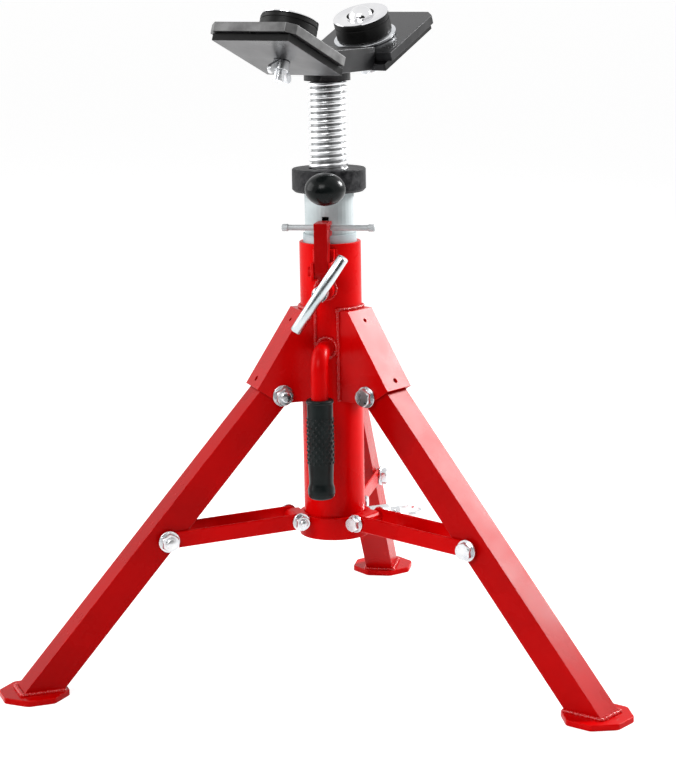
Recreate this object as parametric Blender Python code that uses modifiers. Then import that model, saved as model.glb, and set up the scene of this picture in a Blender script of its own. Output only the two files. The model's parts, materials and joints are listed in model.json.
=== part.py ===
"""Folding v-head pipe stand: a tripod mast with a jack screw and a v-shaped head on two balls."""

import bmesh
import bpy
import math
from mathutils import Matrix, Vector

# Driving dimensions, in metres. Z is up and the floor is at zero.
CLEARANCE = 0.0003
RUNNING_GAP = 0.0005

# Mast
OUTER_TUBE_RADIUS = 0.03015
OUTER_TUBE_WALL = 0.0036
OUTER_TUBE_BOTTOM = 0.1285
OUTER_TUBE_TOP = 0.423
INNER_TUBE_WALL = 0.003
INNER_TUBE_BOTTOM = 0.135
INNER_TUBE_TOP = 0.4713
GUIDE_BUSH_LENGTH = 0.020
GUIDE_BUSH_WALL = 0.0018
GUIDE_BUSH_PROUD = 0.008

# Tripod, in the plane of one leg: r is the distance from the mast axis
LEG_NAMES = {"back": 90, "left": 210, "right": 330}
LEG_SIDE = 0.030
LEG_WALL = 0.0025
LEG_LEAN = math.radians(41.7)
LEG_PIVOT_R = 0.0585
LEG_PIVOT_Z = 0.277
LEG_PIVOT_OFFSET = 0.005
LEG_ABOVE_PIVOT = 0.012
LEG_TOP_ROUND = 0.009
LINK_BOLT_DOWN_LEG = 0.179
FOOT_ACROSS = 0.064
FOOT_THICKNESS = 0.006
FOOT_CORNER_ROUND = 0.006
BRACKET_SHEET = 0.003
BRACKET_TOP = 0.358
BRACKET_TOP_R = 0.036
BRACKET_BELOW_PIVOT = 0.008
BRACKET_NOSE_OUT = 0.0255
BRACKET_NOSE_UP = 0.008
BRACKET_TOE_OUT = 0.0015
BRACKET_VENT_RADIUS = 0.0022
BRACKET_VENT_DOWN = 0.012
BRACKET_DRAIN_RADIUS = 0.0028
BRACKET_DRAIN_UP = 0.009
PIVOT_BOLT_RADIUS = 0.005
PIVOT_HEAD_RADIUS = 0.0092
PIVOT_HEAD_HEIGHT = 0.0065
WASHER_RADIUS = 0.0105
WASHER_THICKNESS = 0.002
BOLT_TAIL = 0.004

# Folding collar and links
COLLAR_PIVOT_OUT = 0.00745
COLLAR_PIVOT_Z = 0.1483
COLLAR_WALL = 0.0045
COLLAR_BELOW_PIVOT = 0.019
COLLAR_ABOVE_PIVOT = 0.003
COLLAR_LUG_ROUND = 0.006
COLLAR_BOLT_RADIUS = 0.004
COLLAR_HEAD_RADIUS = 0.0075
LINK_SHEET = 0.003
LINK_HEIGHT = 0.016
LINK_WEB_START = 0.028
LINK_WEB_END_BACK = 0.060
COLLAR_FOLD_TRAVEL = 0.0833

# Spring plunger on the collar
PLUNGER_ANGLE = 30
PLUNGER_PIN_RADIUS = 0.004
PLUNGER_HOUSING_RADIUS = 0.009
PLUNGER_HOUSING_LENGTH = 0.022
PLUNGER_CAVITY_RADIUS = 0.0068
PLUNGER_END_WALL = 0.003
PLUNGER_SHOULDER = 0.003
PLUNGER_EYE_RADIUS = 0.0055
PLUNGER_EYE_LENGTH = 0.011
PLUNGER_RING_RADIUS = 0.014
PLUNGER_RING_WIRE = 0.002
PLUNGER_RING_HOLE = 0.0039

# Carry handle
HANDLE_R = 0.072
HANDLE_TOP = 0.322
HANDLE_BOTTOM = 0.1875
HANDLE_RADIUS = 0.00825
HANDLE_BEND = 0.016
GRIP_RADIUS = 0.0135
GRIP_BOTTOM = 0.1815
GRIP_TOP = 0.2795
GRIP_FINGER_DEPTH = 0.0012
GRIP_FINGERS = 4

# Height lock: lever and clamp screw, on the front of the mast
SLOT_WIDTH = 0.0068
SLOT_HEIGHT = 0.016
SLOT_TOP = 0.449
SLOT_PITCH = 0.024
SLOT_COUNT = 11
LEVER_THICKNESS = 0.013
LEVER_ROUND = 0.008
LEVER_TOP = 0.446
LEVER_NOSE_BOTTOM = 0.4315
LEVER_NOSE_TOP = 0.4455
LEVER_PIVOT_R = 0.045
LEVER_PIVOT_Z = 0.399
LEVER_PIN_RADIUS = 0.003
LEVER_EAR = 0.0032
LEVER_BRACKET_TOP = 0.419
PULL_BAR_OUT = 0.00685
PULL_BAR_Z = 0.4395
PULL_BAR_RADIUS = 0.0028
PULL_BAR_LENGTH = 0.091
PULL_BAR_SHIFT = 0.004
PULL_BAR_KNOB_RADIUS = 0.0036
PULL_BAR_KNOB_LENGTH = 0.006
CLAMP_Z = 0.3795
CLAMP_BOSS_RADIUS = 0.0095
CLAMP_BOSS_END = 0.042
CLAMP_SCREW_RADIUS = 0.006
CLAMP_HEAD_START = 0.052
CLAMP_HEAD_RADIUS = 0.0075
TEE_BAR_R = 0.064
TEE_BAR_RADIUS = 0.0055
TEE_BAR_LENGTH = 0.087
TEE_BAR_LEAN = math.radians(33.5)

# Jack screw and its nut
SCREW_SIDE_GAP = 0.00215
SCREW_BOTTOM = 0.345
SCREW_SHOULDER = 0.578
SCREW_JOURNAL_STEP = 0.005
SCREW_JOURNAL_LENGTH = 0.016
NUT_RADIUS = 0.036
NUT_TOP = 0.494
NUT_CHAMFER = 0.0025
NUT_TOP_CHAMFER = 0.001
NUT_ARM_ANGLE = -83
NUT_ARM_RADIUS = 0.007
NUT_ARM_Z = 0.4805
KNOB_RADIUS = 0.0194
KNOB_HALF_HEIGHT = 0.0156
KNOB_R = 0.068
KNOB_SINK = 0.0018
KNOB_STUD_RADIUS = 0.004

# V-shaped head. Its own X runs across the vee and its own Y along the pipe.
HEAD_TURN = 67.9
HUB_RADIUS = 0.0225
HUB_HEIGHT = 0.008
SADDLE_LENGTH = 0.060
SADDLE_FOOT_HALF = 0.034
SADDLE_HALF = 0.040
SADDLE_HEIGHT = 0.022
SADDLE_WAIST = 0.005
WING_INNER = 0.0445
WING_INNER_HEIGHT = 0.016
VEE_ANGLE = math.radians(22)
WING_LENGTH = 0.094
WING_WIDTH = 0.096
WING_THICKNESS = 0.009
WING_CORNER = 0.008
WING_INSET = 0.005
BACKING_THICKNESS = 0.007
BALL_FROM_EDGE = 0.034
FLANGE_RADIUS = 0.031
FLANGE_THICKNESS = 0.003
HOUSING_RADIUS = 0.0275
HOUSING_HEIGHT = 0.0194
CAP_THICKNESS = 0.0016
BALL_RADIUS = 0.0127
BALL_PROUD = 0.008
STUD_RADIUS = 0.005
STUD_BELOW = 0.020
WING_NUT_HUB_RADIUS = 0.008
WING_NUT_HUB_HEIGHT = 0.009
WING_NUT_SPAN = 0.019
WING_NUT_RISE = 0.012
WING_NUT_SHEET = 0.0035
WING_NUT_TIP = 0.0045

# Facets of round pieces
TUBE_SIDES = 36
ROD_SIDES = 16
HEAD_SIDES = 28
BALL_SIDES = 16
BOLT_SIDES = 12
ARC_STEPS = 4

# Sizes that follow from the ones above
BORE_RADIUS = OUTER_TUBE_RADIUS + CLEARANCE
OUTER_TUBE_BORE = OUTER_TUBE_RADIUS - OUTER_TUBE_WALL
INNER_TUBE_RADIUS = OUTER_TUBE_BORE - GUIDE_BUSH_WALL - 2 * CLEARANCE
INNER_TUBE_BORE = INNER_TUBE_RADIUS - INNER_TUBE_WALL
SCREW_RADIUS = INNER_TUBE_BORE - SCREW_SIDE_GAP
SCREW_JOURNAL_RADIUS = SCREW_RADIUS - SCREW_JOURNAL_STEP
PULL_BAR_R = INNER_TUBE_RADIUS + PULL_BAR_OUT
BRACKET_BOTTOM = LEG_PIVOT_Z - BRACKET_BELOW_PIVOT
BRACKET_NOSE_R = LEG_PIVOT_R + BRACKET_NOSE_OUT
BRACKET_NOSE_Z = LEG_PIVOT_Z + BRACKET_NOSE_UP
BRACKET_TOE_R = LEG_PIVOT_R + BRACKET_TOE_OUT
COLLAR_BORE = OUTER_TUBE_RADIUS + RUNNING_GAP
COLLAR_RADIUS = COLLAR_BORE + COLLAR_WALL
COLLAR_PIVOT_R = COLLAR_RADIUS + COLLAR_PIVOT_OUT
LEVER_BACK = LEVER_PIVOT_R - LEVER_ROUND
LEVER_FRONT = LEVER_PIVOT_R + LEVER_ROUND
FOOT_R = (LEG_PIVOT_R + LEG_PIVOT_OFFSET / math.cos(LEG_LEAN)
          + LEG_PIVOT_Z * math.tan(LEG_LEAN))
LEG_INNER_WIDTH = LEG_SIDE + 2 * RUNNING_GAP
BRACKET_WIDTH = LEG_INNER_WIDTH + 2 * BRACKET_SHEET
LINK_WIDTH = LEG_INNER_WIDTH + 2 * LINK_SHEET
LINK_BOLT_R = LEG_PIVOT_R + LINK_BOLT_DOWN_LEG * math.sin(LEG_LEAN)
LINK_BOLT_Z = LEG_PIVOT_Z - LINK_BOLT_DOWN_LEG * math.cos(LEG_LEAN)
LINK_LENGTH = math.hypot(LINK_BOLT_R - COLLAR_PIVOT_R, LINK_BOLT_Z - COLLAR_PIVOT_Z)
LINK_DROP = math.asin((COLLAR_PIVOT_Z - LINK_BOLT_Z) / LINK_LENGTH)
PLUNGER_Z = COLLAR_PIVOT_Z + COLLAR_ABOVE_PIVOT - PLUNGER_HOUSING_RADIUS
NUT_BOTTOM = INNER_TUBE_TOP + CLEARANCE
NUT_ARM_END = KNOB_R - KNOB_RADIUS + KNOB_SINK
HEAD_BOTTOM = SCREW_SHOULDER + CLEARANCE
SADDLE_BOTTOM = HUB_HEIGHT
SADDLE_TOP = SADDLE_BOTTOM + SADDLE_HEIGHT


def collection(name):
    group = bpy.data.collections.new(name)
    bpy.context.scene.collection.children.link(group)
    return group


def material(name, colour, roughness, metallic=0.0):
    finish = bpy.data.materials.new(name)
    finish.use_nodes = True
    shader = finish.node_tree.nodes["Principled BSDF"]
    shader.inputs["Base Color"].default_value = (*colour, 1.0)
    shader.inputs["Roughness"].default_value = roughness
    shader.inputs["Metallic"].default_value = metallic
    return finish


for leftover in list(bpy.data.objects):
    bpy.data.objects.remove(leftover)
PARTS = collection("v_head_pipe_stand")
CUTTERS = collection("cutters")
RED = material("red_paint", (0.60, 0.008, 0.010), 0.35)
ZINC = material("zinc_plate", (0.72, 0.73, 0.75), 0.30, 1.0)
BLACK = material("black_oxide", (0.030, 0.030, 0.032), 0.45)
RUBBER = material("grip_rubber", (0.020, 0.022, 0.024), 0.75)
STEEL = material("bright_steel", (0.80, 0.80, 0.81), 0.15, 1.0)
PLASTIC = material("bush_plastic", (0.55, 0.55, 0.53), 0.55)


def empty(name, parent=None, location=(0, 0, 0), turn_z=0.0):
    holder = bpy.data.objects.new(name, None)
    holder.parent = parent
    holder.location = location
    holder.rotation_euler = (0, 0, math.radians(turn_z))
    PARTS.objects.link(holder)
    return holder


def place(name, mesh, finish, parent, location=(0, 0, 0), rotation=(0, 0, 0)):
    piece = bpy.data.objects.new(name, mesh)
    piece.parent = parent
    piece.location = location
    piece.rotation_euler = rotation
    if finish is None:
        piece.hide_render = True
        piece.display_type = "WIRE"
        CUTTERS.objects.link(piece)
    else:
        mesh.materials.append(finish)
        mesh.shade_smooth()
        mesh.set_sharp_from_angle(angle=math.radians(35))
        PARTS.objects.link(piece)
    return piece


def boolean(piece, mesh, operation="DIFFERENCE"):
    """Cut or join a mesh that is given in the piece's own frame."""
    tool = place("tool_" + piece.name, mesh, None, piece.parent, piece.location, piece.rotation_euler)
    step = piece.modifiers.new(operation.lower(), "BOOLEAN")
    step.operation = operation
    step.object = tool
    return piece


def mesh_from(build):
    shape = bmesh.new()
    build(shape)
    bmesh.ops.recalc_face_normals(shape, faces=shape.faces)
    mesh = bpy.data.meshes.new("mesh")
    shape.to_mesh(mesh)
    shape.free()
    return mesh


def box(low, high):
    low, high = Vector(low), Vector(high)
    size = high - low
    matrix = Matrix.Translation((low + high) / 2) @ Matrix.Diagonal((*size, 1.0))
    return mesh_from(lambda shape: bmesh.ops.create_cube(shape, size=1.0, matrix=matrix))


def rod(radius, start, end, sides=ROD_SIDES):
    """A round bar from one point to another."""
    start, end = Vector(start), Vector(end)
    along = end - start
    turn = Vector((0, 0, 1)).rotation_difference(along).to_matrix().to_4x4()
    matrix = Matrix.Translation((start + end) / 2) @ turn
    return mesh_from(lambda shape: bmesh.ops.create_cone(
        shape, cap_ends=True, segments=sides, radius1=radius, radius2=radius,
        depth=along.length, matrix=matrix))


def evaluated_mesh(source):
    """The finished mesh of a helper object, which is then removed."""
    bpy.context.scene.collection.objects.link(source)
    bpy.context.view_layer.update()
    graph = bpy.context.evaluated_depsgraph_get()
    mesh = bpy.data.meshes.new_from_object(source.evaluated_get(graph))
    bpy.data.objects.remove(source)
    shape = bmesh.new()
    shape.from_mesh(mesh)
    bmesh.ops.remove_doubles(shape, verts=shape.verts, dist=0.000002)
    bmesh.ops.recalc_face_normals(shape, faces=shape.faces)
    shape.to_mesh(mesh)
    shape.free()
    mesh.materials.clear()
    return mesh


def turned(profile, sides=TUBE_SIDES, closed=False):
    """Revolve a profile of (radius, height) points that runs down the outer side."""
    line = bpy.data.meshes.new("profile")
    edges = [(i, i + 1) for i in range(len(profile) - 1)]
    if closed:
        edges.append((len(profile) - 1, 0))
    line.from_pydata([(radius, 0, height) for radius, height in profile], edges, [])
    helper = bpy.data.objects.new("profile", line)
    spin = helper.modifiers.new("spin", "SCREW")
    spin.steps = spin.render_steps = sides
    spin.use_merge_vertices = True
    spin.merge_threshold = 0.000005
    return evaluated_mesh(helper)


def ring(outer, inner, bottom, top, sides=TUBE_SIDES):
    return turned([(outer, top), (outer, bottom), (inner, bottom), (inner, top)], sides, closed=True)


def slab(outline, width):
    """A flat outline of (x, z) points made into a plate of that width, centred on y."""
    curve = bpy.data.curves.new("outline", "CURVE")
    curve.dimensions = "2D"
    curve.fill_mode = "BOTH"
    curve.extrude = width / 2
    spline = curve.splines.new("POLY")
    spline.points.add(len(outline) - 1)
    for point, (x, z) in zip(spline.points, outline):
        point.co = (x, z, 0, 1)
    spline.use_cyclic_u = True
    mesh = evaluated_mesh(bpy.data.objects.new("outline", curve))
    mesh.transform(Matrix.Rotation(math.pi / 2, 4, "X"))
    return mesh


def tube_along(points, radius, resolution=2, cyclic=False):
    """A round bar along a list of points."""
    curve = bpy.data.curves.new("path", "CURVE")
    curve.dimensions = "3D"
    curve.bevel_depth = radius
    curve.bevel_resolution = resolution
    curve.use_fill_caps = not cyclic
    spline = curve.splines.new("POLY")
    spline.points.add(len(points) - 1)
    for point, place_at in zip(spline.points, points):
        point.co = (*place_at, 1)
    spline.use_cyclic_u = cyclic
    return evaluated_mesh(bpy.data.objects.new("path", curve))


def arc(centre, radius, start, end, steps=ARC_STEPS):
    """Points on a circle, with the angles in degrees."""
    angles = [math.radians(start + (end - start) * i / steps) for i in range(steps + 1)]
    return [(centre[0] + radius * math.cos(a), centre[1] + radius * math.sin(a)) for a in angles]


def stacked(sections, sides=BOLT_SIDES):
    """One solid of coaxial hexagons and rounds: each section is (shape, radius, start, end) along y."""
    def ring_points(kind, radius, height):
        points = []
        for i in range(sides):
            angle = 2 * math.pi * i / sides
            reach = radius
            if kind == "hex":
                reach *= math.cos(math.pi / 6) / math.cos(angle % (math.pi / 3) - math.pi / 6)
            points.append((reach * math.cos(angle), height, reach * math.sin(angle)))
        return points

    def build(shape):
        rings = []
        for kind, radius, start, end in sections:
            for height in (start, end):
                rings.append([shape.verts.new(point) for point in ring_points(kind, radius, height)])
        for lower, upper in zip(rings, rings[1:]):
            for i in range(sides):
                j = (i + 1) % sides
                shape.faces.new((lower[i], lower[j], upper[j], upper[i]))
        shape.faces.new(rings[0])
        shape.faces.new(rings[-1])

    return mesh_from(build)


def joined(first, *others):
    """Several meshes held in one, as separate bodies."""
    shape = bmesh.new()
    for mesh in (first, *others):
        shape.from_mesh(mesh)
    mesh = bpy.data.meshes.new("group")
    shape.to_mesh(mesh)
    shape.free()
    return mesh


def through_bolt(half_grip, shank, head, head_height, washer):
    """A hexagon bolt along y with washers and a nut, over a grip centred on zero."""
    under = half_grip + CLEARANCE
    face = under + WASHER_THICKNESS
    return stacked([
        ("hex", head, -face - head_height, -face),
        ("round", washer, -face, -under),
        ("round", shank, -under, under),
        ("round", washer, under, face),
        ("hex", head, face, face + head_height),
        ("round", shank, face + head_height, face + head_height + BOLT_TAIL)])


STAND = empty("stand")


def outer_tube():
    tube = place("outer_tube",
                 ring(OUTER_TUBE_RADIUS, OUTER_TUBE_BORE, OUTER_TUBE_BOTTOM, OUTER_TUBE_TOP), RED, STAND)
    reach = OUTER_TUBE_RADIUS * 2
    boolean(tube, rod(CLAMP_SCREW_RADIUS + CLEARANCE, (0, 0, CLAMP_Z), (0, -reach, CLAMP_Z)))
    way = Vector((math.cos(math.radians(PLUNGER_ANGLE)), math.sin(math.radians(PLUNGER_ANGLE)), 0)) * reach
    for height in (PLUNGER_Z, PLUNGER_Z + COLLAR_FOLD_TRAVEL):
        centre = Vector((0, 0, height))
        boolean(tube, rod(PLUNGER_PIN_RADIUS + CLEARANCE, centre, centre + way, BOLT_SIDES))


def guide_bushes(inner_slide):
    outer = OUTER_TUBE_BORE - CLEARANCE
    inner = INNER_TUBE_RADIUS + CLEARANCE
    top = OUTER_TUBE_TOP + GUIDE_BUSH_PROUD
    place("guide_bush_upper", ring(outer, inner, OUTER_TUBE_TOP - GUIDE_BUSH_LENGTH, top), PLASTIC, STAND)
    bottom = INNER_TUBE_BOTTOM
    place("guide_bush_lower", ring(outer, inner, bottom, bottom + GUIDE_BUSH_LENGTH), PLASTIC, inner_slide)


def inner_tube(inner_slide):
    wall = ring(INNER_TUBE_RADIUS, INNER_TUBE_BORE, INNER_TUBE_BOTTOM, INNER_TUBE_TOP)
    tube = place("inner_tube", wall, ZINC, inner_slide)
    half = SLOT_WIDTH / 2
    slots = []
    for i in range(SLOT_COUNT):
        top = SLOT_TOP - i * SLOT_PITCH
        slots.append(box((-half, -INNER_TUBE_RADIUS * 2, top - SLOT_HEIGHT), (half, 0, top)))
    boolean(tube, joined(*slots))


def leg_bracket(name, frame):
    """A bent sheet hood, open below and at the nose, with its walls fitted to the mast."""
    outline = [(0, BRACKET_TOP), (BRACKET_TOP_R, BRACKET_TOP), (BRACKET_NOSE_R, BRACKET_NOSE_Z),
               (BRACKET_TOE_R, BRACKET_BOTTOM), (0, BRACKET_BOTTOM)]
    hood = place("leg_bracket_" + name, slab(outline, BRACKET_WIDTH), RED, frame)
    slope = Vector((BRACKET_NOSE_R - BRACKET_TOP_R, BRACKET_NOSE_Z - BRACKET_TOP)).normalized()
    inward = Vector((slope.y, -slope.x)) * BRACKET_SHEET
    ceiling = BRACKET_TOP - BRACKET_SHEET
    start = Vector((BRACKET_TOP_R, BRACKET_TOP)) + inward
    start += slope * ((ceiling - start.y) / slope.y)
    end = Vector((BRACKET_NOSE_R, BRACKET_NOSE_Z)) + inward + slope * BRACKET_NOSE_R
    hollow = [(0, ceiling), tuple(start), tuple(end), (0, end.y)]
    boolean(hood, slab(hollow, LEG_INNER_WIDTH))
    boolean(hood, rod(BORE_RADIUS, (0, 0, BRACKET_BOTTOM / 2), (0, 0, BRACKET_TOP * 2), TUBE_SIDES))
    reach = BRACKET_WIDTH
    boolean(hood, rod(PIVOT_BOLT_RADIUS + CLEARANCE, (LEG_PIVOT_R, -reach, LEG_PIVOT_Z),
                      (LEG_PIVOT_R, reach, LEG_PIVOT_Z), BOLT_SIDES))
    vent = Vector((BRACKET_TOP_R, BRACKET_TOP)) + slope * BRACKET_VENT_DOWN
    drain = Vector((BRACKET_NOSE_R, BRACKET_NOSE_Z)) - slope * BRACKET_DRAIN_UP
    for hole, radius in ((vent, BRACKET_VENT_RADIUS), (drain, BRACKET_DRAIN_RADIUS)):
        outside, inside = hole - inward * 1.5, hole + inward * 1.5
        boolean(hood, rod(radius, (outside.x, 0, outside.y), (inside.x, 0, inside.y), BOLT_SIDES))
    bolt = through_bolt(BRACKET_WIDTH / 2, PIVOT_BOLT_RADIUS, PIVOT_HEAD_RADIUS, PIVOT_HEAD_HEIGHT,
                        WASHER_RADIUS)
    place("leg_pivot_bolt_" + name, bolt, ZINC, frame, (LEG_PIVOT_R, 0, LEG_PIVOT_Z))


def leg(name, frame):
    """A square tube that hangs from its pivot, with its lower end cut level, and its foot plate."""
    hinge = empty("leg_hinge_" + name, frame, (LEG_PIVOT_R, 0, LEG_PIVOT_Z))
    inside = LEG_PIVOT_OFFSET - LEG_SIDE / 2
    outside = LEG_PIVOT_OFFSET + LEG_SIDE / 2
    floor = FOOT_THICKNESS + CLEARANCE - LEG_PIVOT_Z

    def cut_level(x):
        return (floor - x * math.sin(LEG_LEAN)) / math.cos(LEG_LEAN)

    corner = (outside - LEG_TOP_ROUND, LEG_ABOVE_PIVOT - LEG_TOP_ROUND)
    outline = ([(inside, cut_level(inside)), (outside, cut_level(outside))]
               + arc(corner, LEG_TOP_ROUND, 0, 90) + [(inside, LEG_ABOVE_PIVOT)])
    tilt = (0, -LEG_LEAN, 0)
    bar = place("leg_" + name, slab(outline, LEG_SIDE), RED, hinge, rotation=tilt)
    bore = LEG_SIDE / 2 - LEG_WALL
    low, high = LEG_PIVOT_OFFSET - bore, LEG_PIVOT_OFFSET + bore
    boolean(bar, box((low, -bore, cut_level(outside) - LEG_SIDE), (high, bore, LEG_SIDE)))
    for down in (0, LINK_BOLT_DOWN_LEG):
        boolean(bar, rod(PIVOT_BOLT_RADIUS + CLEARANCE, (0, -LEG_SIDE, -down), (0, LEG_SIDE, -down),
                         BOLT_SIDES))

    reach = FOOT_ACROSS / 2
    outline = []
    cut_back = reach / math.cos(math.pi / 8) - FOOT_CORNER_ROUND / math.cos(math.pi / 8)
    for i in range(8):
        middle = 45 * i + 22.5
        centre = (cut_back * math.cos(math.radians(middle)), cut_back * math.sin(math.radians(middle)))
        outline += arc(centre, FOOT_CORNER_ROUND, middle - 22.5, middle + 22.5, 2)
    foot = slab(outline, FOOT_THICKNESS)
    foot.transform(Matrix.Rotation(math.pi / 2, 4, "X"))
    place("foot_plate_" + name, foot, RED, hinge,
          (FOOT_R - LEG_PIVOT_R, 0, FOOT_THICKNESS / 2 - LEG_PIVOT_Z))


def collar(slide):
    top = COLLAR_PIVOT_Z + COLLAR_ABOVE_PIVOT
    bottom = COLLAR_PIVOT_Z - COLLAR_BELOW_PIVOT
    body = place("fold_collar", ring(COLLAR_RADIUS, COLLAR_BORE, bottom, top), RED, slide)
    root = COLLAR_BORE + COLLAR_WALL / 2
    outline = ([(root, COLLAR_PIVOT_Z - COLLAR_LUG_ROUND)]
               + arc((COLLAR_PIVOT_R, COLLAR_PIVOT_Z), COLLAR_LUG_ROUND, -90, 90, 6)
               + [(root, COLLAR_PIVOT_Z + COLLAR_LUG_ROUND)])
    for angle in LEG_NAMES.values():
        turn = Matrix.Rotation(math.radians(angle), 4, "Z")
        lug = slab(outline, LEG_SIDE)
        lug.transform(turn)
        boolean(body, lug, "UNION")
    for angle in LEG_NAMES.values():
        hole = rod(COLLAR_BOLT_RADIUS + CLEARANCE, (COLLAR_PIVOT_R, -LEG_SIDE, COLLAR_PIVOT_Z),
                   (COLLAR_PIVOT_R, LEG_SIDE, COLLAR_PIVOT_Z), BOLT_SIDES)
        hole.transform(Matrix.Rotation(math.radians(angle), 4, "Z"))
        boolean(body, hole)
    boolean(body, rod(COLLAR_BORE, (0, 0, bottom / 2), (0, 0, top * 2), TUBE_SIDES))
    way = Vector((math.cos(math.radians(PLUNGER_ANGLE)), math.sin(math.radians(PLUNGER_ANGLE)), 0))
    centre = Vector((0, 0, PLUNGER_Z))
    boolean(body, rod(PLUNGER_PIN_RADIUS + CLEARANCE, centre, centre + way * COLLAR_RADIUS * 2, BOLT_SIDES))


def link(name, slide, angle):
    """A U-channel from the collar lug to the leg. Its web stops short at both ends."""
    frame = empty("link_frame_" + name, slide, turn_z=angle)
    hinge = empty("link_hinge_" + name, frame, (COLLAR_PIVOT_R, 0, COLLAR_PIVOT_Z))
    half = LINK_HEIGHT / 2
    outline = arc((LINK_LENGTH, 0), half, -90, 90) + arc((0, 0), half, 90, 270)
    drop = (0, LINK_DROP, 0)
    channel = place("brace_link_" + name, slab(outline, LINK_WIDTH), RED, hinge, rotation=drop)
    web_top = LINK_SHEET - half
    web_end = LINK_LENGTH - LINK_WEB_END_BACK
    past = LINK_LENGTH + LINK_HEIGHT
    hollow = [(-LINK_HEIGHT, -LINK_HEIGHT), (LINK_WEB_START, -LINK_HEIGHT), (LINK_WEB_START, web_top),
              (web_end, web_top), (web_end, -LINK_HEIGHT), (past, -LINK_HEIGHT), (past, LINK_HEIGHT),
              (-LINK_HEIGHT, LINK_HEIGHT)]
    boolean(channel, slab(hollow, LEG_INNER_WIDTH))
    for x, radius in ((0, COLLAR_BOLT_RADIUS), (LINK_LENGTH, PIVOT_BOLT_RADIUS)):
        boolean(channel, rod(radius + CLEARANCE, (x, -LINK_WIDTH, 0), (x, LINK_WIDTH, 0), BOLT_SIDES))

    bolt = through_bolt(LINK_WIDTH / 2, COLLAR_BOLT_RADIUS, COLLAR_HEAD_RADIUS, PIVOT_HEAD_HEIGHT,
                        COLLAR_HEAD_RADIUS)
    place("collar_bolt_" + name, bolt, ZINC, frame, (COLLAR_PIVOT_R, 0, COLLAR_PIVOT_Z))

    under = LINK_WIDTH / 2 + CLEARANCE
    face = under + WASHER_THICKNESS
    inner = LEG_INNER_WIDTH / 2
    tall = face + PIVOT_HEAD_HEIGHT
    head_half = stacked([("hex", PIVOT_HEAD_RADIUS, -tall, -face), ("round", WASHER_RADIUS, -face, -under),
                         ("round", PIVOT_BOLT_RADIUS, -under, -inner)])
    nut_half = stacked([("round", PIVOT_BOLT_RADIUS, inner, under), ("round", WASHER_RADIUS, under, face),
                        ("hex", PIVOT_HEAD_RADIUS, face, tall),
                        ("round", PIVOT_BOLT_RADIUS, tall, tall + BOLT_TAIL)])
    bolt_at = (LINK_LENGTH * math.cos(LINK_DROP), 0, -LINK_LENGTH * math.sin(LINK_DROP))
    place("link_bolt_" + name, head_half, ZINC, hinge, bolt_at)
    place("link_nut_" + name, nut_half, ZINC, hinge, bolt_at)


def plunger(slide):
    """A sprung pin in a closed housing on the collar. Its own Z runs outwards from the mast."""
    frame = empty("plunger_frame", slide, (0, 0, PLUNGER_Z), PLUNGER_ANGLE)
    outwards = (0, math.pi / 2, 0)
    start = COLLAR_RADIUS + CLEARANCE
    end = start + PLUNGER_HOUSING_LENGTH
    bore = PLUNGER_PIN_RADIUS + CLEARANCE
    cavity = PLUNGER_CAVITY_RADIUS
    floor, roof = start + PLUNGER_END_WALL, end - PLUNGER_END_WALL
    housing = [(PLUNGER_HOUSING_RADIUS, end), (PLUNGER_HOUSING_RADIUS, start), (bore, start), (bore, floor),
               (cavity, floor), (cavity, roof), (bore, roof), (bore, end)]
    place("plunger_housing", turned(housing, ROD_SIDES, closed=True), ZINC, frame, rotation=outwards)

    tip = OUTER_TUBE_RADIUS + CLEARANCE
    shoulder = floor + CLEARANCE
    lift = shoulder + PLUNGER_SHOULDER
    eye = end + CLEARANCE
    pin = [(0, eye + PLUNGER_EYE_LENGTH), (PLUNGER_EYE_RADIUS, eye + PLUNGER_EYE_LENGTH),
           (PLUNGER_EYE_RADIUS, eye), (PLUNGER_PIN_RADIUS, eye), (PLUNGER_PIN_RADIUS, lift),
           (cavity - CLEARANCE, lift), (cavity - CLEARANCE, shoulder), (PLUNGER_PIN_RADIUS, shoulder),
           (PLUNGER_PIN_RADIUS, tip), (0, tip)]
    body = place("plunger_pin", turned(pin, ROD_SIDES), ZINC, frame, rotation=outwards)
    hole_at = eye + PLUNGER_EYE_LENGTH / 2
    boolean(body, rod(PLUNGER_RING_HOLE, (0, -PLUNGER_EYE_LENGTH, hole_at), (0, PLUNGER_EYE_LENGTH, hole_at)))
    loop = [(hole_at + PLUNGER_RING_RADIUS * (1 - math.cos(math.tau * i / 24)),
             PLUNGER_RING_RADIUS * math.sin(math.tau * i / 24), 0) for i in range(24)]
    place("plunger_ring", tube_along(loop, PLUNGER_RING_WIRE, 1, cyclic=True), ZINC, frame)


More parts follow.
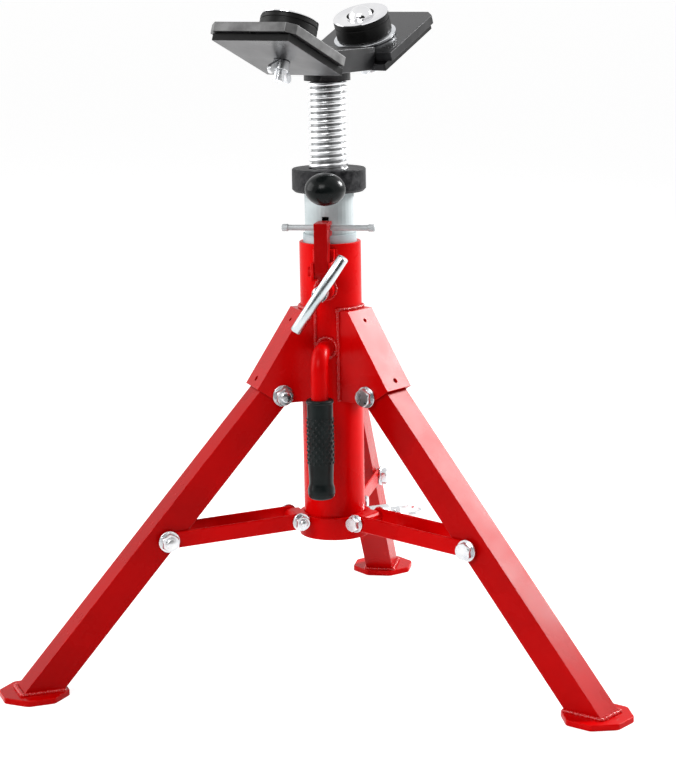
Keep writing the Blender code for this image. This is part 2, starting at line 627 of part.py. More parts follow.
def carry_handle():
    """A bar from the front of the mast that bends down into a moulded grip."""
    corner = (HANDLE_R - HANDLE_BEND, HANDLE_TOP - HANDLE_BEND)
    route = [(0, HANDLE_TOP)] + arc(corner, HANDLE_BEND, 90, 0, 6) + [(HANDLE_R, HANDLE_BOTTOM)]
    bar = place("carry_handle", tube_along([(0, -r, z) for r, z in route], HANDLE_RADIUS, 3), RED, STAND)
    boolean(bar, rod(BORE_RADIUS, (0, 0, HANDLE_BOTTOM), (0, 0, BRACKET_TOP), TUBE_SIDES))

    bore = HANDLE_RADIUS + CLEARANCE
    profile = [(bore, GRIP_TOP), (GRIP_RADIUS - GRIP_FINGER_DEPTH * 2, GRIP_TOP)]
    length = GRIP_TOP - GRIP_BOTTOM
    steps = GRIP_FINGERS * 4
    for i in range(1, steps):
        wave = math.cos(math.tau * GRIP_FINGERS * i / steps)
        profile.append((GRIP_RADIUS - GRIP_FINGER_DEPTH * (1 + wave) / 2, GRIP_TOP - length * i / steps))
    profile += [(GRIP_RADIUS - GRIP_FINGER_DEPTH * 2, GRIP_BOTTOM), (0, GRIP_BOTTOM),
                (0, HANDLE_BOTTOM - CLEARANCE), (bore, HANDLE_BOTTOM - CLEARANCE)]
    grip = turned(profile + [profile[0]], ROD_SIDES)
    place("handle_grip", grip, RUBBER, STAND, (0, -HANDLE_R, 0))


def lock_lever():
    """A sprung lever whose nose stands at the row of slots. Its own X runs out from the mast."""
    front = empty("lever_frame", STAND, turn_z=-90)
    hinge = empty("lever_hinge", front, (LEVER_PIVOT_R, 0, LEVER_PIVOT_Z))
    nose = INNER_TUBE_RADIUS + RUNNING_GAP
    outline = (arc((LEVER_PIVOT_R, LEVER_PIVOT_Z), LEVER_ROUND, 180, 360, 8)
               + [(LEVER_FRONT, LEVER_TOP), (LEVER_BACK, LEVER_TOP), (nose, LEVER_NOSE_TOP),
                  (nose, LEVER_NOSE_BOTTOM), (LEVER_BACK, LEVER_NOSE_BOTTOM)])
    local = [(r - LEVER_PIVOT_R, z - LEVER_PIVOT_Z) for r, z in outline]
    lever = place("lock_lever", slab(local, LEVER_THICKNESS), RED, hinge)
    boolean(lever, rod(LEVER_PIN_RADIUS + CLEARANCE, (0, -LEVER_THICKNESS, 0), (0, LEVER_THICKNESS, 0),
                       BOLT_SIDES))
    x, z = PULL_BAR_R - LEVER_PIVOT_R, PULL_BAR_Z - LEVER_PIVOT_Z
    boolean(lever, rod(PULL_BAR_RADIUS + CLEARANCE, (x, -LEVER_THICKNESS, z), (x, LEVER_THICKNESS, z),
                       BOLT_SIDES))

    half = PULL_BAR_LENGTH / 2
    shaft = half - PULL_BAR_KNOB_LENGTH
    bar = stacked([("round", PULL_BAR_KNOB_RADIUS, -half, -shaft), ("round", PULL_BAR_RADIUS, -shaft, shaft),
                   ("round", PULL_BAR_KNOB_RADIUS, shaft, half)])
    place("lever_pull_bar", bar, ZINC, hinge, (x, PULL_BAR_SHIFT, z))

    inner = LEVER_THICKNESS / 2 + RUNNING_GAP
    outer = inner + LEVER_EAR
    foot = LEVER_PIVOT_Z - LEVER_ROUND - CLEARANCE
    block = box((0, -outer, foot), (LEVER_FRONT, outer, LEVER_BRACKET_TOP))
    bracket = place("lever_bracket", block, RED, front)
    ear_top = LEVER_PIVOT_Z + LEVER_PIN_RADIUS * 3
    back = LEVER_BACK - RUNNING_GAP
    boolean(bracket, box((back, -outer * 2, ear_top), (LEVER_FRONT * 2, outer * 2, LEVER_TOP)))
    boolean(bracket, box((back, -inner, 0), (LEVER_FRONT * 2, inner, LEVER_TOP)))
    boolean(bracket, rod(BORE_RADIUS, (0, 0, CLAMP_Z), (0, 0, LEVER_TOP), TUBE_SIDES))
    boolean(bracket, rod(LEVER_PIN_RADIUS + CLEARANCE, (LEVER_PIVOT_R, -outer * 2, LEVER_PIVOT_Z),
                         (LEVER_PIVOT_R, outer * 2, LEVER_PIVOT_Z), BOLT_SIDES))
    ends = outer + CLEARANCE
    pin = stacked([("round", LEVER_PIN_RADIUS * 1.6, -ends - LEVER_PIN_RADIUS, -ends),
                   ("round", LEVER_PIN_RADIUS, -ends, ends),
                   ("round", LEVER_PIN_RADIUS * 1.6, ends, ends + LEVER_PIN_RADIUS)])
    place("lever_pin", pin, ZINC, front, (LEVER_PIVOT_R, 0, LEVER_PIVOT_Z))


def clamp_screw():
    """A screw in a boss on the front of the mast. Its bar lies in a groove across the head."""
    frame = empty("clamp_frame", STAND, (0, 0, CLAMP_Z), -90)
    outwards = (0, math.pi / 2, 0)
    boss = place("clamp_boss", rod(CLAMP_BOSS_RADIUS, (0, 0, 0), (CLAMP_BOSS_END, 0, 0)), RED, frame)
    boolean(boss, rod(BORE_RADIUS, (0, 0, -CLAMP_Z / 2), (0, 0, CLAMP_Z / 2), TUBE_SIDES))
    boolean(boss, rod(CLAMP_SCREW_RADIUS + CLEARANCE, (0, 0, 0), (CLAMP_BOSS_END * 2, 0, 0)))
    tip = INNER_TUBE_RADIUS + RUNNING_GAP
    profile = [(0, TEE_BAR_R), (CLAMP_HEAD_RADIUS, TEE_BAR_R), (CLAMP_HEAD_RADIUS, CLAMP_HEAD_START),
               (CLAMP_SCREW_RADIUS, CLAMP_HEAD_START), (CLAMP_SCREW_RADIUS, tip), (0, tip)]
    screw = place("clamp_screw", turned(profile, ROD_SIDES), ZINC, frame, rotation=outwards)
    half = TEE_BAR_LENGTH / 2
    lean = Vector((-math.cos(TEE_BAR_LEAN), math.sin(TEE_BAR_LEAN), 0))
    centre = Vector((0, 0, TEE_BAR_R))
    boolean(screw, rod(TEE_BAR_RADIUS + CLEARANCE, centre - lean * half, centre + lean * half, BOLT_SIDES))
    bar = rod(TEE_BAR_RADIUS, centre - lean * half, centre + lean * half)
    place("clamp_tee_bar", bar, ZINC, frame, rotation=outwards)


def handle_nut(inner_slide):
    """A turned cast nut on top of the inner tube, with one arm and its ball knob."""
    low, high, cut, nick = NUT_BOTTOM, NUT_TOP, NUT_CHAMFER, NUT_TOP_CHAMFER
    bore = SCREW_RADIUS + RUNNING_GAP
    profile = [(NUT_RADIUS - nick, high), (NUT_RADIUS, high - nick), (NUT_RADIUS, low + cut),
               (NUT_RADIUS - cut, low), (bore, low), (bore, high)]
    frame = empty("nut_frame", inner_slide, turn_z=NUT_ARM_ANGLE)
    nut = place("handle_nut", turned(profile, closed=True), BLACK, frame)
    waist = (bore + NUT_RADIUS) / 2
    boolean(nut, rod(NUT_ARM_RADIUS, (waist, 0, NUT_ARM_Z), (NUT_ARM_END, 0, NUT_ARM_Z)), "UNION")
    stud_end = KNOB_R
    boolean(nut, rod(KNOB_STUD_RADIUS, (waist, 0, NUT_ARM_Z), (stud_end, 0, NUT_ARM_Z), BOLT_SIDES), "UNION")

    seat = NUT_ARM_END + CLEARANCE * 2 - KNOB_R
    edge = math.degrees(math.acos(seat / KNOB_RADIUS))
    bore = KNOB_STUD_RADIUS + CLEARANCE
    deep = stud_end + CLEARANCE - KNOB_R
    ball = turned(arc((0, 0), KNOB_RADIUS, 90, 90 - edge, 12) + [(0, seat)], ROD_SIDES)
    ball.transform(Matrix.Diagonal((KNOB_HALF_HEIGHT / KNOB_RADIUS, 1, 1, 1)))
    knob = place("nut_knob", ball, BLACK, frame, (KNOB_R, 0, NUT_ARM_Z), (0, math.pi / 2, 0))
    boolean(knob, rod(bore, (0, 0, seat * 2), (0, 0, deep), BOLT_SIDES))


def jack_screw(screw_slide):
    tip = SCREW_SHOULDER + SCREW_JOURNAL_LENGTH
    profile = [(0, tip), (SCREW_JOURNAL_RADIUS, tip), (SCREW_JOURNAL_RADIUS, SCREW_SHOULDER),
               (SCREW_RADIUS, SCREW_SHOULDER), (SCREW_RADIUS, SCREW_BOTTOM), (0, SCREW_BOTTOM)]
    place("jack_screw", turned(profile), ZINC, screw_slide)


def wing_frame(side):
    """The frame of one wing: X up the slope from its inner edge, Z out of its face."""
    inner = Vector((WING_INNER, 0, WING_INNER_HEIGHT))
    slope = Matrix.Rotation(-VEE_ANGLE, 4, "Y")
    turn = Matrix.Rotation(0 if side > 0 else math.pi, 4, "Z")
    return turn @ Matrix.Translation(inner) @ slope


def head(swivel):
    """The saddle on its hub, with both wings and what stands on them."""
    foot, waist = SADDLE_FOOT_HALF, SADDLE_BOTTOM + SADDLE_WAIST
    outline = [(-foot, SADDLE_BOTTOM), (foot, SADDLE_BOTTOM), (SADDLE_HALF, waist), (SADDLE_HALF, SADDLE_TOP),
               (-SADDLE_HALF, SADDLE_TOP), (-SADDLE_HALF, waist)]
    saddle = place("v_saddle", slab(outline, SADDLE_LENGTH), BLACK, swivel)
    boolean(saddle, rod(HUB_RADIUS, (0, 0, 0), (0, 0, SADDLE_BOTTOM + CLEARANCE), TUBE_SIDES), "UNION")
    half = WING_LENGTH / 2 - WING_INSET
    for side in (1, -1):
        backing = box((-BACKING_THICKNESS, -half, -BACKING_THICKNESS), (WING_WIDTH - WING_INSET, half, 0))
        backing.transform(wing_frame(side))
        boolean(saddle, backing, "UNION")
    for side in (1, -1):
        hole = rod(STUD_RADIUS + CLEARANCE, (BALL_FROM_EDGE, 0, -SADDLE_HALF),
                   (BALL_FROM_EDGE, 0, SADDLE_HALF))
        hole.transform(wing_frame(side))
        boolean(saddle, hole)
    boolean(saddle, rod(SCREW_JOURNAL_RADIUS + CLEARANCE, (0, 0, -HUB_HEIGHT),
                        (0, 0, SCREW_JOURNAL_LENGTH), TUBE_SIDES))
    for side, name in ((1, "far"), (-1, "near")):
        wing(name, swivel, wing_frame(side))


def wing(name, swivel, matrix):
    """A wing plate with its ball unit above and the wing nut that holds both, below."""
    turn = matrix.to_euler()
    half = WING_LENGTH / 2
    cut = WING_CORNER
    outline = [(0, half), (0, -half), (WING_WIDTH - cut, -half), (WING_WIDTH, cut - half),
               (WING_WIDTH, half - cut), (WING_WIDTH - cut, half)]
    shape = slab(outline, WING_THICKNESS)
    shape.transform(Matrix.Rotation(-math.pi / 2, 4, "X"))
    shape.transform(Matrix.Translation((0, 0, CLEARANCE + WING_THICKNESS / 2)))
    plate = place("wing_plate_" + name, shape, BLACK, swivel, matrix.translation, turn)
    boolean(plate, rod(STUD_RADIUS + CLEARANCE, (BALL_FROM_EDGE, 0, -half), (BALL_FROM_EDGE, 0, half)))

    level = 2 * CLEARANCE + WING_THICKNESS
    seat = matrix @ Vector((BALL_FROM_EDGE, 0, level))
    hole = STUD_RADIUS + CLEARANCE
    place("ball_flange_" + name, ring(FLANGE_RADIUS, hole, 0, FLANGE_THICKNESS, HEAD_SIDES), ZINC,
          swivel, seat, turn)

    low = FLANGE_THICKNESS + CLEARANCE
    high = low + HOUSING_HEIGHT
    cap_low = high + CLEARANCE
    cap_high = cap_low + CAP_THICKNESS
    centre = cap_high + BALL_PROUD - BALL_RADIUS
    pocket = BALL_RADIUS + RUNNING_GAP
    stud_end = -(level + BACKING_THICKNESS + STUD_BELOW)
    profile = arc((0, centre), pocket, -90, 0, 5) + [
        (pocket, high), (HOUSING_RADIUS, high), (HOUSING_RADIUS, low), (STUD_RADIUS, low),
        (STUD_RADIUS, stud_end), (0, stud_end)]
    place("ball_housing_" + name, turned(profile, HEAD_SIDES), BLACK, swivel, seat, turn)

    mouth = math.sqrt(BALL_RADIUS ** 2 - (BALL_RADIUS - BALL_PROUD) ** 2) + RUNNING_GAP
    profile = [(HOUSING_RADIUS, cap_high), (HOUSING_RADIUS, cap_low), (pocket, cap_low), (mouth, cap_high)]
    place("ball_cap_" + name, turned(profile, HEAD_SIDES, closed=True), STEEL, swivel, seat, turn)

    ball = mesh_from(lambda shape: bmesh.ops.create_uvsphere(
        shape, u_segments=BALL_SIDES, v_segments=BALL_SIDES // 2, radius=BALL_RADIUS))
    place("transfer_ball_" + name, ball, STEEL, swivel,
          matrix @ Vector((BALL_FROM_EDGE, 0, level + centre)), turn)

    hub = ring(WING_NUT_HUB_RADIUS, STUD_RADIUS + RUNNING_GAP, -WING_NUT_HUB_HEIGHT, 0, ROD_SIDES)
    nut = place("wing_nut_" + name, hub, ZINC, swivel,
                matrix @ Vector((BALL_FROM_EDGE, 0, -BACKING_THICKNESS - CLEARANCE)), turn)
    root = (WING_NUT_HUB_RADIUS + STUD_RADIUS) / 2
    tip = (WING_NUT_SPAN - WING_NUT_TIP, -WING_NUT_RISE)
    ear = ([(root, -CLEARANCE)] + arc(tip, WING_NUT_TIP, 45, -135, 6)
           + [(root, -WING_NUT_HUB_HEIGHT + CLEARANCE)])
    for facing in (0, math.pi):
        shape = slab(ear, WING_NUT_SHEET)
        shape.transform(Matrix.Rotation(facing, 4, "Z"))
        boolean(nut, shape, "UNION")


collar_slide = empty("collar_slide", STAND)
inner_slide = empty("inner_slide", STAND)
screw_slide = empty("screw_slide", inner_slide)
swivel_at = empty("head_swivel", screw_slide, (0, 0, HEAD_BOTTOM), HEAD_TURN)
outer_tube()
for leg_name, leg_angle in LEG_NAMES.items():
    leg_frame = empty("leg_frame_" + leg_name, STAND, turn_z=leg_angle)
    leg_bracket(leg_name, leg_frame)
    leg(leg_name, leg_frame)
    link(leg_name, collar_slide, leg_angle)
collar(collar_slide)
plunger(collar_slide)
carry_handle()
lock_lever()
clamp_screw()
guide_bushes(inner_slide)
inner_tube(inner_slide)
handle_nut(inner_slide)
jack_screw(screw_slide)
head(swivel_at)

# The origin is under the middle of the bounding box, which the feet set.
bpy.context.view_layer.update()
foot_plates = [bpy.data.objects["foot_plate_" + leg_name] for leg_name in LEG_NAMES]
depths = [(plate.matrix_world @ corner.co).y for plate in foot_plates for corner in plate.data.vertices]
STAND.location.y = -(min(depths) + max(depths)) / 2
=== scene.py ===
"""Dresses the folding v-head pipe stand: paint, zinc, cast and rubber finishes, thread, welds and fasteners."""

import json
import math

import bmesh
import bpy
from mathutils import Matrix, Vector


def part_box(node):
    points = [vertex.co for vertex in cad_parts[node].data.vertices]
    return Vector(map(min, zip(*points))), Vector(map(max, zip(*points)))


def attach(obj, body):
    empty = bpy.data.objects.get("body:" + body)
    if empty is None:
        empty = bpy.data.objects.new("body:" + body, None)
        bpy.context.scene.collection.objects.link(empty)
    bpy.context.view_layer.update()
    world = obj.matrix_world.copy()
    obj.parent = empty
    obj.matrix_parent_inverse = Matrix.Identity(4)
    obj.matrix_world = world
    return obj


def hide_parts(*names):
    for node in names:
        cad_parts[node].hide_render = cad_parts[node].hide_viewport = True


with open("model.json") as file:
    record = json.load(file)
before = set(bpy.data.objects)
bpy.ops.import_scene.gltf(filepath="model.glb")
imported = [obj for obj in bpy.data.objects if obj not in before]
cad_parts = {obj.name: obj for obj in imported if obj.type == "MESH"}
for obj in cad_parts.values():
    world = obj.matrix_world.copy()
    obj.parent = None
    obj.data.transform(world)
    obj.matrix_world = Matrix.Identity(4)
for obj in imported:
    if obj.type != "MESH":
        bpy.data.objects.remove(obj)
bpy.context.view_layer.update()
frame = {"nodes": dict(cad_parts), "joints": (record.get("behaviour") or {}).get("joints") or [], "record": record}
NODES = frame["nodes"]
BODY_OF = {node: body for body, nodes in frame["record"]["behaviour"]["bodies"].items() for node in nodes}
SLOT_OF = {entry["node"]: entry["material_slot"] for entry in frame["record"]["subparts"]}
LEG_ANGLES = {"back": 90, "left": 210, "right": 330}


def middle(node):
    """The centre of a node's box."""
    low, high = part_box(node)
    return (Vector(low) + Vector(high)) / 2


def joint(name):
    """The place and the axis of a joint."""
    found = next(entry for entry in frame["joints"] if entry["name"] == name)
    return Vector(found.get("pos_m", (0, 0, 0))), Vector(found["axis"])


MAST = Vector((middle("outer_tube").x, middle("outer_tube").y, 0))


def around(angle, reach, height):
    """A point at an angle in degrees and a distance from the mast axis."""
    turn = math.radians(angle)
    return MAST + Vector((reach * math.cos(turn), reach * math.sin(turn), height))


def clamped(value):
    """The value held between 0 and 1."""
    return min(max(value, 0.0), 1.0)


def added(name, data):
    """A new object in the scene."""
    made = bpy.data.objects.new(name, data)
    bpy.context.scene.collection.objects.link(made)
    return made


# Finishes


def number_group(name, inputs, outputs):
    """An empty shader group whose sockets are all numbers, with its node and link makers."""
    tree = bpy.data.node_groups.new(name, "ShaderNodeTree")
    for way, labels in (("INPUT", inputs), ("OUTPUT", outputs)):
        for label in labels:
            tree.interface.new_socket(label, in_out=way, socket_type="NodeSocketFloat")
    return tree, tree.nodes.new, tree.links.new


def blotch_group():
    """Soft patches over fine grain: a mask from 0 to 1 and a height for bump."""
    tree, add, link = number_group("patches and grain", ("Patch Scale", "Grain Scale"), ("Patches", "Grain"))
    start, end = add("NodeGroupInput"), add("NodeGroupOutput")
    place, patch, grain = add("ShaderNodeTexCoord"), add("ShaderNodeTexNoise"), add("ShaderNodeTexNoise")
    patch.inputs["Detail"].default_value = 4.0
    patch.inputs["Roughness"].default_value = 0.6
    grain.inputs["Detail"].default_value = 2.0
    spread = add("ShaderNodeMapRange")
    spread.inputs["From Min"].default_value = 0.35
    spread.inputs["From Max"].default_value = 0.65
    for texture, name in ((patch, "Patch Scale"), (grain, "Grain Scale")):
        link(place.outputs["Object"], texture.inputs["Vector"])
        link(start.outputs[name], texture.inputs["Scale"])
    link(patch.outputs["Fac"], spread.inputs["Value"])
    link(spread.outputs["Result"], end.inputs["Patches"])
    link(grain.outputs["Fac"], end.inputs["Grain"])
    return tree


def wear_and_sheen_group():
    """Worn spots on the rounded edges, which carry the edge attribute; the lighter colour there is partly wear and
    partly a painted highlight.
    """
    tree, add, link = number_group("edge wear and sheen", ("Spot Scale", "Amount"), ("Wear And Sheen",))
    start, end = add("NodeGroupInput"), add("NodeGroupOutput")
    place, spots, edge = add("ShaderNodeTexCoord"), add("ShaderNodeTexNoise"), add("ShaderNodeAttribute")
    edge.attribute_name = "edge"
    spots.inputs["Detail"].default_value = 5.0
    level, gate, strength = add("ShaderNodeMapRange"), add("ShaderNodeMath"), add("ShaderNodeMath")
    level.inputs["From Min"].default_value = 0.46
    level.inputs["From Max"].default_value = 0.60
    gate.operation = strength.operation = "MULTIPLY"
    link(place.outputs["Object"], spots.inputs["Vector"])
    link(start.outputs["Spot Scale"], spots.inputs["Scale"])
    link(spots.outputs["Fac"], level.inputs["Value"])
    link(level.outputs["Result"], gate.inputs[0])
    link(edge.outputs["Fac"], gate.inputs[1])
    link(gate.outputs["Value"], strength.inputs[0])
    link(start.outputs["Amount"], strength.inputs[1])
    link(strength.outputs["Value"], end.inputs["Wear And Sheen"])
    return tree


BLOTCH = blotch_group()
WEAR_AND_SHEEN = wear_and_sheen_group()
WEAR_AND_SHEEN_SPOT_SCALE = 140.0


def colour_mix(tree, factor, first, second):
    """The mix of two colours, each a tuple or a socket."""
    mix = tree.nodes.new("ShaderNodeMix")
    mix.data_type = "RGBA"
    tree.links.new(factor, mix.inputs["Factor"])
    sockets = [entry for entry in mix.inputs if entry.type == "RGBA"]
    for socket, colour in zip(sockets, (first, second)):
        if isinstance(colour, tuple):
            socket.default_value = (*colour, 1.0)
        else:
            tree.links.new(colour, socket)
    return next(entry for entry in mix.outputs if entry.type == "RGBA")


def finish(name, dark, light, rough, metallic=0.0, patch_scale=20.0, grain_scale=900.0, bump=0.05,
           grain_depth=0.0002, worn_and_sheen=None, wear_and_sheen=0.0, painted_shade=None, specular=0.5):
    """A Principled material: colour and roughness drift in patches, fine grain, lighter edges that are partly wear
    and partly a painted highlight, and painted shade where the groove attribute is set.
    """
    material = bpy.data.materials.new(name)
    material.use_nodes = True
    tree = material.node_tree
    add, link = tree.nodes.new, tree.links.new
    shader = tree.nodes["Principled BSDF"]
    shader.inputs["Metallic"].default_value = metallic
    shader.inputs["Specular IOR Level"].default_value = specular
    blotch = add("ShaderNodeGroup")
    blotch.node_tree = BLOTCH
    blotch.inputs["Patch Scale"].default_value = patch_scale
    blotch.inputs["Grain Scale"].default_value = grain_scale
    paint = colour_mix(tree, blotch.outputs["Patches"], dark, light)
    roughness = add("ShaderNodeMapRange")
    roughness.inputs["To Min"].default_value = rough[0]
    roughness.inputs["To Max"].default_value = rough[1]
    link(blotch.outputs["Patches"], roughness.inputs["Value"])
    link(roughness.outputs["Result"], shader.inputs["Roughness"])
    # Lighter colour on the rounded edges: partly wear, partly a painted highlight along the edges.
    if worn_and_sheen:
        rubbed_and_sheen = add("ShaderNodeGroup")
        rubbed_and_sheen.node_tree = WEAR_AND_SHEEN
        rubbed_and_sheen.inputs["Spot Scale"].default_value = WEAR_AND_SHEEN_SPOT_SCALE
        rubbed_and_sheen.inputs["Amount"].default_value = wear_and_sheen
        paint = colour_mix(tree, rubbed_and_sheen.outputs["Wear And Sheen"], paint, worn_and_sheen)
    # Painted shade: the colour darkens toward the given dark colour wherever the groove attribute is set.
    if painted_shade:
        depth = add("ShaderNodeAttribute")
        depth.attribute_name = "groove"
        paint = colour_mix(tree, depth.outputs["Fac"], paint, painted_shade)
    link(paint, shader.inputs["Base Color"])
    relief = add("ShaderNodeBump")
    relief.inputs["Strength"].default_value = bump
    relief.inputs["Distance"].default_value = grain_depth
    link(blotch.outputs["Grain"], relief.inputs["Height"])
    link(relief.outputs["Normal"], shader.inputs["Normal"])
    return material


def red_paint(name, dark, light, rough=(0.22, 0.34), patch_scale=14.0, worn_and_sheen=None, wear_and_sheen=0.35, specular=0.05):
    """Gloss paint of one hue, given by its red in dark patches, in light patches and on its lighter edges, which
    are partly wear and partly a painted highlight.
    """
    return finish(name, (dark, 0.0003, 0.0005), (light, 0.0006, 0.0010), rough, patch_scale=patch_scale,
                  grain_scale=520.0, bump=0.10, worn_and_sheen=(worn_and_sheen, 0.02, 0.018) if worn_and_sheen else None, wear_and_sheen=wear_and_sheen,
                  specular=specular)


RED = red_paint("red gloss paint", 0.46, 0.55, worn_and_sheen=0.70)
# The mast's red is a lighter copy of the frame's paint: painted light.
MAST_LIT_RED = red_paint("red paint with painted light", 0.56, 0.66, worn_and_sheen=0.74)
# The legs' red is a darker copy of the frame's paint: painted shade.
LEG_SHADED_RED = red_paint("red paint with painted shade", 0.36, 0.44, worn_and_sheen=0.66)
BRACKET_RED = red_paint("sheet red paint", 0.44, 0.53, worn_and_sheen=0.70, specular=0.10)
WELD_RED = red_paint("weld red paint", 0.46, 0.55, (0.14, 0.24), 60.0, specular=0.40)
# The lever's red is a darker copy of the frame's paint: painted shade.
LEVER_SHADED_RED = red_paint("lever red paint with painted shade", 0.26, 0.33, (0.24, 0.36), 18.0, worn_and_sheen=0.62, wear_and_sheen=0.12, specular=0.06)
ZINC = finish("zinc plate", (0.58, 0.60, 0.63), (0.78, 0.79, 0.80), (0.20, 0.34), 1.0, patch_scale=60.0,
              bump=0.06, worn_and_sheen=(0.88, 0.88, 0.88), wear_and_sheen=0.4)
TEE_ZINC = finish("blue zinc bar", (0.44, 0.51, 0.53), (0.62, 0.67, 0.69), (0.18, 0.30), 1.0, patch_scale=50.0)
WIRE_ZINC = finish("dull zinc wire", (0.33, 0.35, 0.36), (0.45, 0.47, 0.48), (0.42, 0.56), 0.25,
                   patch_scale=70.0, bump=0.08, specular=0.3)
# The thread's groove colour is painted shade, in the grooves and below the inner tube's top.
THREAD_ZINC = finish("bright zinc thread", (0.72, 0.73, 0.74), (0.84, 0.85, 0.86), (0.28, 0.40), 1.0,
                     patch_scale=35.0, grain_scale=500.0, bump=0.02, painted_shade=(0.07, 0.07, 0.07))
TUBE_ZINC = finish("galvanised tube", (0.47, 0.53, 0.54), (0.55, 0.60, 0.61), (0.40, 0.54), patch_scale=45.0,
                   grain_scale=700.0, bump=0.06, specular=0.06)
CAST = finish("black casting", (0.001, 0.001, 0.002), (0.034, 0.034, 0.036), (0.40, 0.58), patch_scale=160.0,
              grain_scale=420.0, bump=0.50, grain_depth=0.0006, worn_and_sheen=(0.10, 0.10, 0.11), wear_and_sheen=0.35,
              specular=0.12)
KNOB = finish("black phenolic", (0.002, 0.003, 0.003), (0.006, 0.008, 0.008), (0.18, 0.30), patch_scale=40.0,
              grain_scale=300.0, bump=0.04, specular=0.12)
SATIN = finish("black oxide plate", (0.042, 0.042, 0.044), (0.075, 0.075, 0.078), (0.24, 0.38), 0.80,
               patch_scale=24.0, grain_scale=600.0, bump=0.08, worn_and_sheen=(0.26, 0.26, 0.27), wear_and_sheen=0.25)
# Painted shade: a darker copy of the black oxide plate, for the saddle's box and the far plate's edges.
SHADE = finish("black saddle edges", (0.010, 0.010, 0.011), (0.022, 0.022, 0.023), (0.34, 0.50), 0.30,
               patch_scale=24.0, grain_scale=600.0, bump=0.10, worn_and_sheen=(0.16, 0.16, 0.17), wear_and_sheen=0.25, specular=0.2)
# Deep black: the housings' own colour, and painted shade on the saddle wings' edges.
DEEP_BLACK_AND_SHADE = finish("deep black oxide and painted shade", (0.002, 0.002, 0.002), (0.006, 0.006, 0.006), (0.34, 0.50), patch_scale=30.0,
              grain_scale=600.0, bump=0.10, worn_and_sheen=(0.05, 0.05, 0.05), wear_and_sheen=0.25, specular=0.12)
# Painted light: a lighter copy of the black oxide plate, for the near plate's edges.
LIT_PLATE_EDGE = finish("plate edge with painted light", (0.075, 0.075, 0.075), (0.16, 0.16, 0.16), (0.34, 0.48), 0.35,
             patch_scale=50.0, grain_scale=500.0, bump=0.10)
GRIP = finish("moulded rubber", (0.002, 0.004, 0.004), (0.006, 0.010, 0.010), (0.30, 0.42), patch_scale=60.0,
              bump=0.10, specular=0.16)
CHROME = finish("bright steel", (0.74, 0.74, 0.76), (0.84, 0.84, 0.85), (0.06, 0.14), 1.0, patch_scale=40.0,
                bump=0.02)
BUSH = finish("bush plastic", (0.42, 0.49, 0.51), (0.50, 0.56, 0.58), (0.42, 0.55), patch_scale=50.0, bump=0.1,
              specular=0.1)


# Making and dressing pieces

SAME_POINT, SLIVER = 0.00001, 0.000002
FLAT_ANGLE, RIM_ANGLE = math.radians(1.5), math.radians(28)
RIM_SEGMENTS = 3
FINE, MEDIUM, COARSE = 64, 48, 32
POLE = 0.0002


def piece(name, mesh, material, node_names=(), body=None, sharp=40):
    """A finished piece at the origin that rides on its body and stands for the nodes it is given."""
    mesh.materials.clear()
    mesh.materials.append(material)
    mesh.shade_smooth()
    mesh.set_sharp_from_angle(angle=math.radians(sharp))
    shown = added(name, mesh)
    body = body or BODY_OF[node_names[0]]
    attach(shown, body)
    if node_names:
        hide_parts(*node_names)
    return shown


def softened(node, material, width, least):
    """The node with every edge longer than least rounded. The rounded faces carry the edge attribute."""
    shape = bmesh.new()
    shape.from_mesh(NODES[node].data)
    bmesh.ops.remove_doubles(shape, verts=shape.verts, dist=SAME_POINT)
    bmesh.ops.dissolve_limit(shape, angle_limit=FLAT_ANGLE, verts=shape.verts, edges=shape.edges)
    mark = shape.faces.layers.float.new("edge")
    rims = [edge for edge in shape.edges if edge.is_manifold and edge.calc_length() > least
            and edge.is_convex and abs(edge.calc_face_angle(0.0)) > RIM_ANGLE]
    made = bmesh.ops.bevel(shape, geom=rims, offset=width, segments=RIM_SEGMENTS, profile=0.5,
                           affect="EDGES", clamp_overlap=True)
    for face in made["faces"]:
        face[mark] = 1.0
    bmesh.ops.dissolve_degenerate(shape, dist=SLIVER, edges=shape.edges)
    mesh = bpy.data.meshes.new(node + "_skin")
    shape.to_mesh(mesh)
    shape.free()
    shown = piece(node + "_skin", mesh, material, (node,))
    level = shown.modifiers.new("even shading", "WEIGHTED_NORMAL")
    level.keep_sharp = True
    return shown


def coat(material, *nodes):
    """Gives CAD nodes that show as they are their finish."""
    for node in nodes:
        NODES[node].data.materials.clear()
        NODES[node].data.materials.append(material)


def recoat(shown, materials, pick):
    """Adds materials to a piece; pick gives each face the number of its own."""
    for material in materials:
        shown.data.materials.append(material)
    for face in shown.data.polygons:
        face.material_index = pick(face)


def rings_mesh(name, rings, columns, bored=False):
    """A closed skin through rings of (height, radius at an angle); bored joins the last ring to the first.

    Each ring has that number of columns round it.
    """
    shape = bmesh.new()
    loops = []
    for height, reach in rings:
        loop = []
        for i in range(columns):
            angle = math.tau * i / columns
            radius = reach(angle)
            loop.append(shape.verts.new((radius * math.cos(angle), radius * math.sin(angle), height)))
        loops.append(loop)
    pairs = list(zip(loops, loops[1:]))
    if bored:
        pairs.append((loops[-1], loops[0]))
    for lower, upper in pairs:
        for i in range(columns):
            j = (i + 1) % columns
            shape.faces.new((lower[i], lower[j], upper[j], upper[i]))
    if not bored:
        for loop, height in ((loops[0], rings[0][0]), (loops[-1], rings[-1][0])):
            tip = shape.verts.new((0, 0, height))
            for i in range(columns):
                shape.faces.new((loop[i], loop[(i + 1) % columns], tip))
    bmesh.ops.recalc_face_normals(shape, faces=shape.faces)
    mesh = bpy.data.meshes.new(name)
    shape.to_mesh(mesh)
    shape.free()
    return mesh


def steady(radius):
    """The reach of a plain round ring."""
    return lambda angle: radius


def turned(profile):
    """Plain round rings from a profile of (height, radius)."""
    return [(height, steady(radius)) for height, radius in profile]


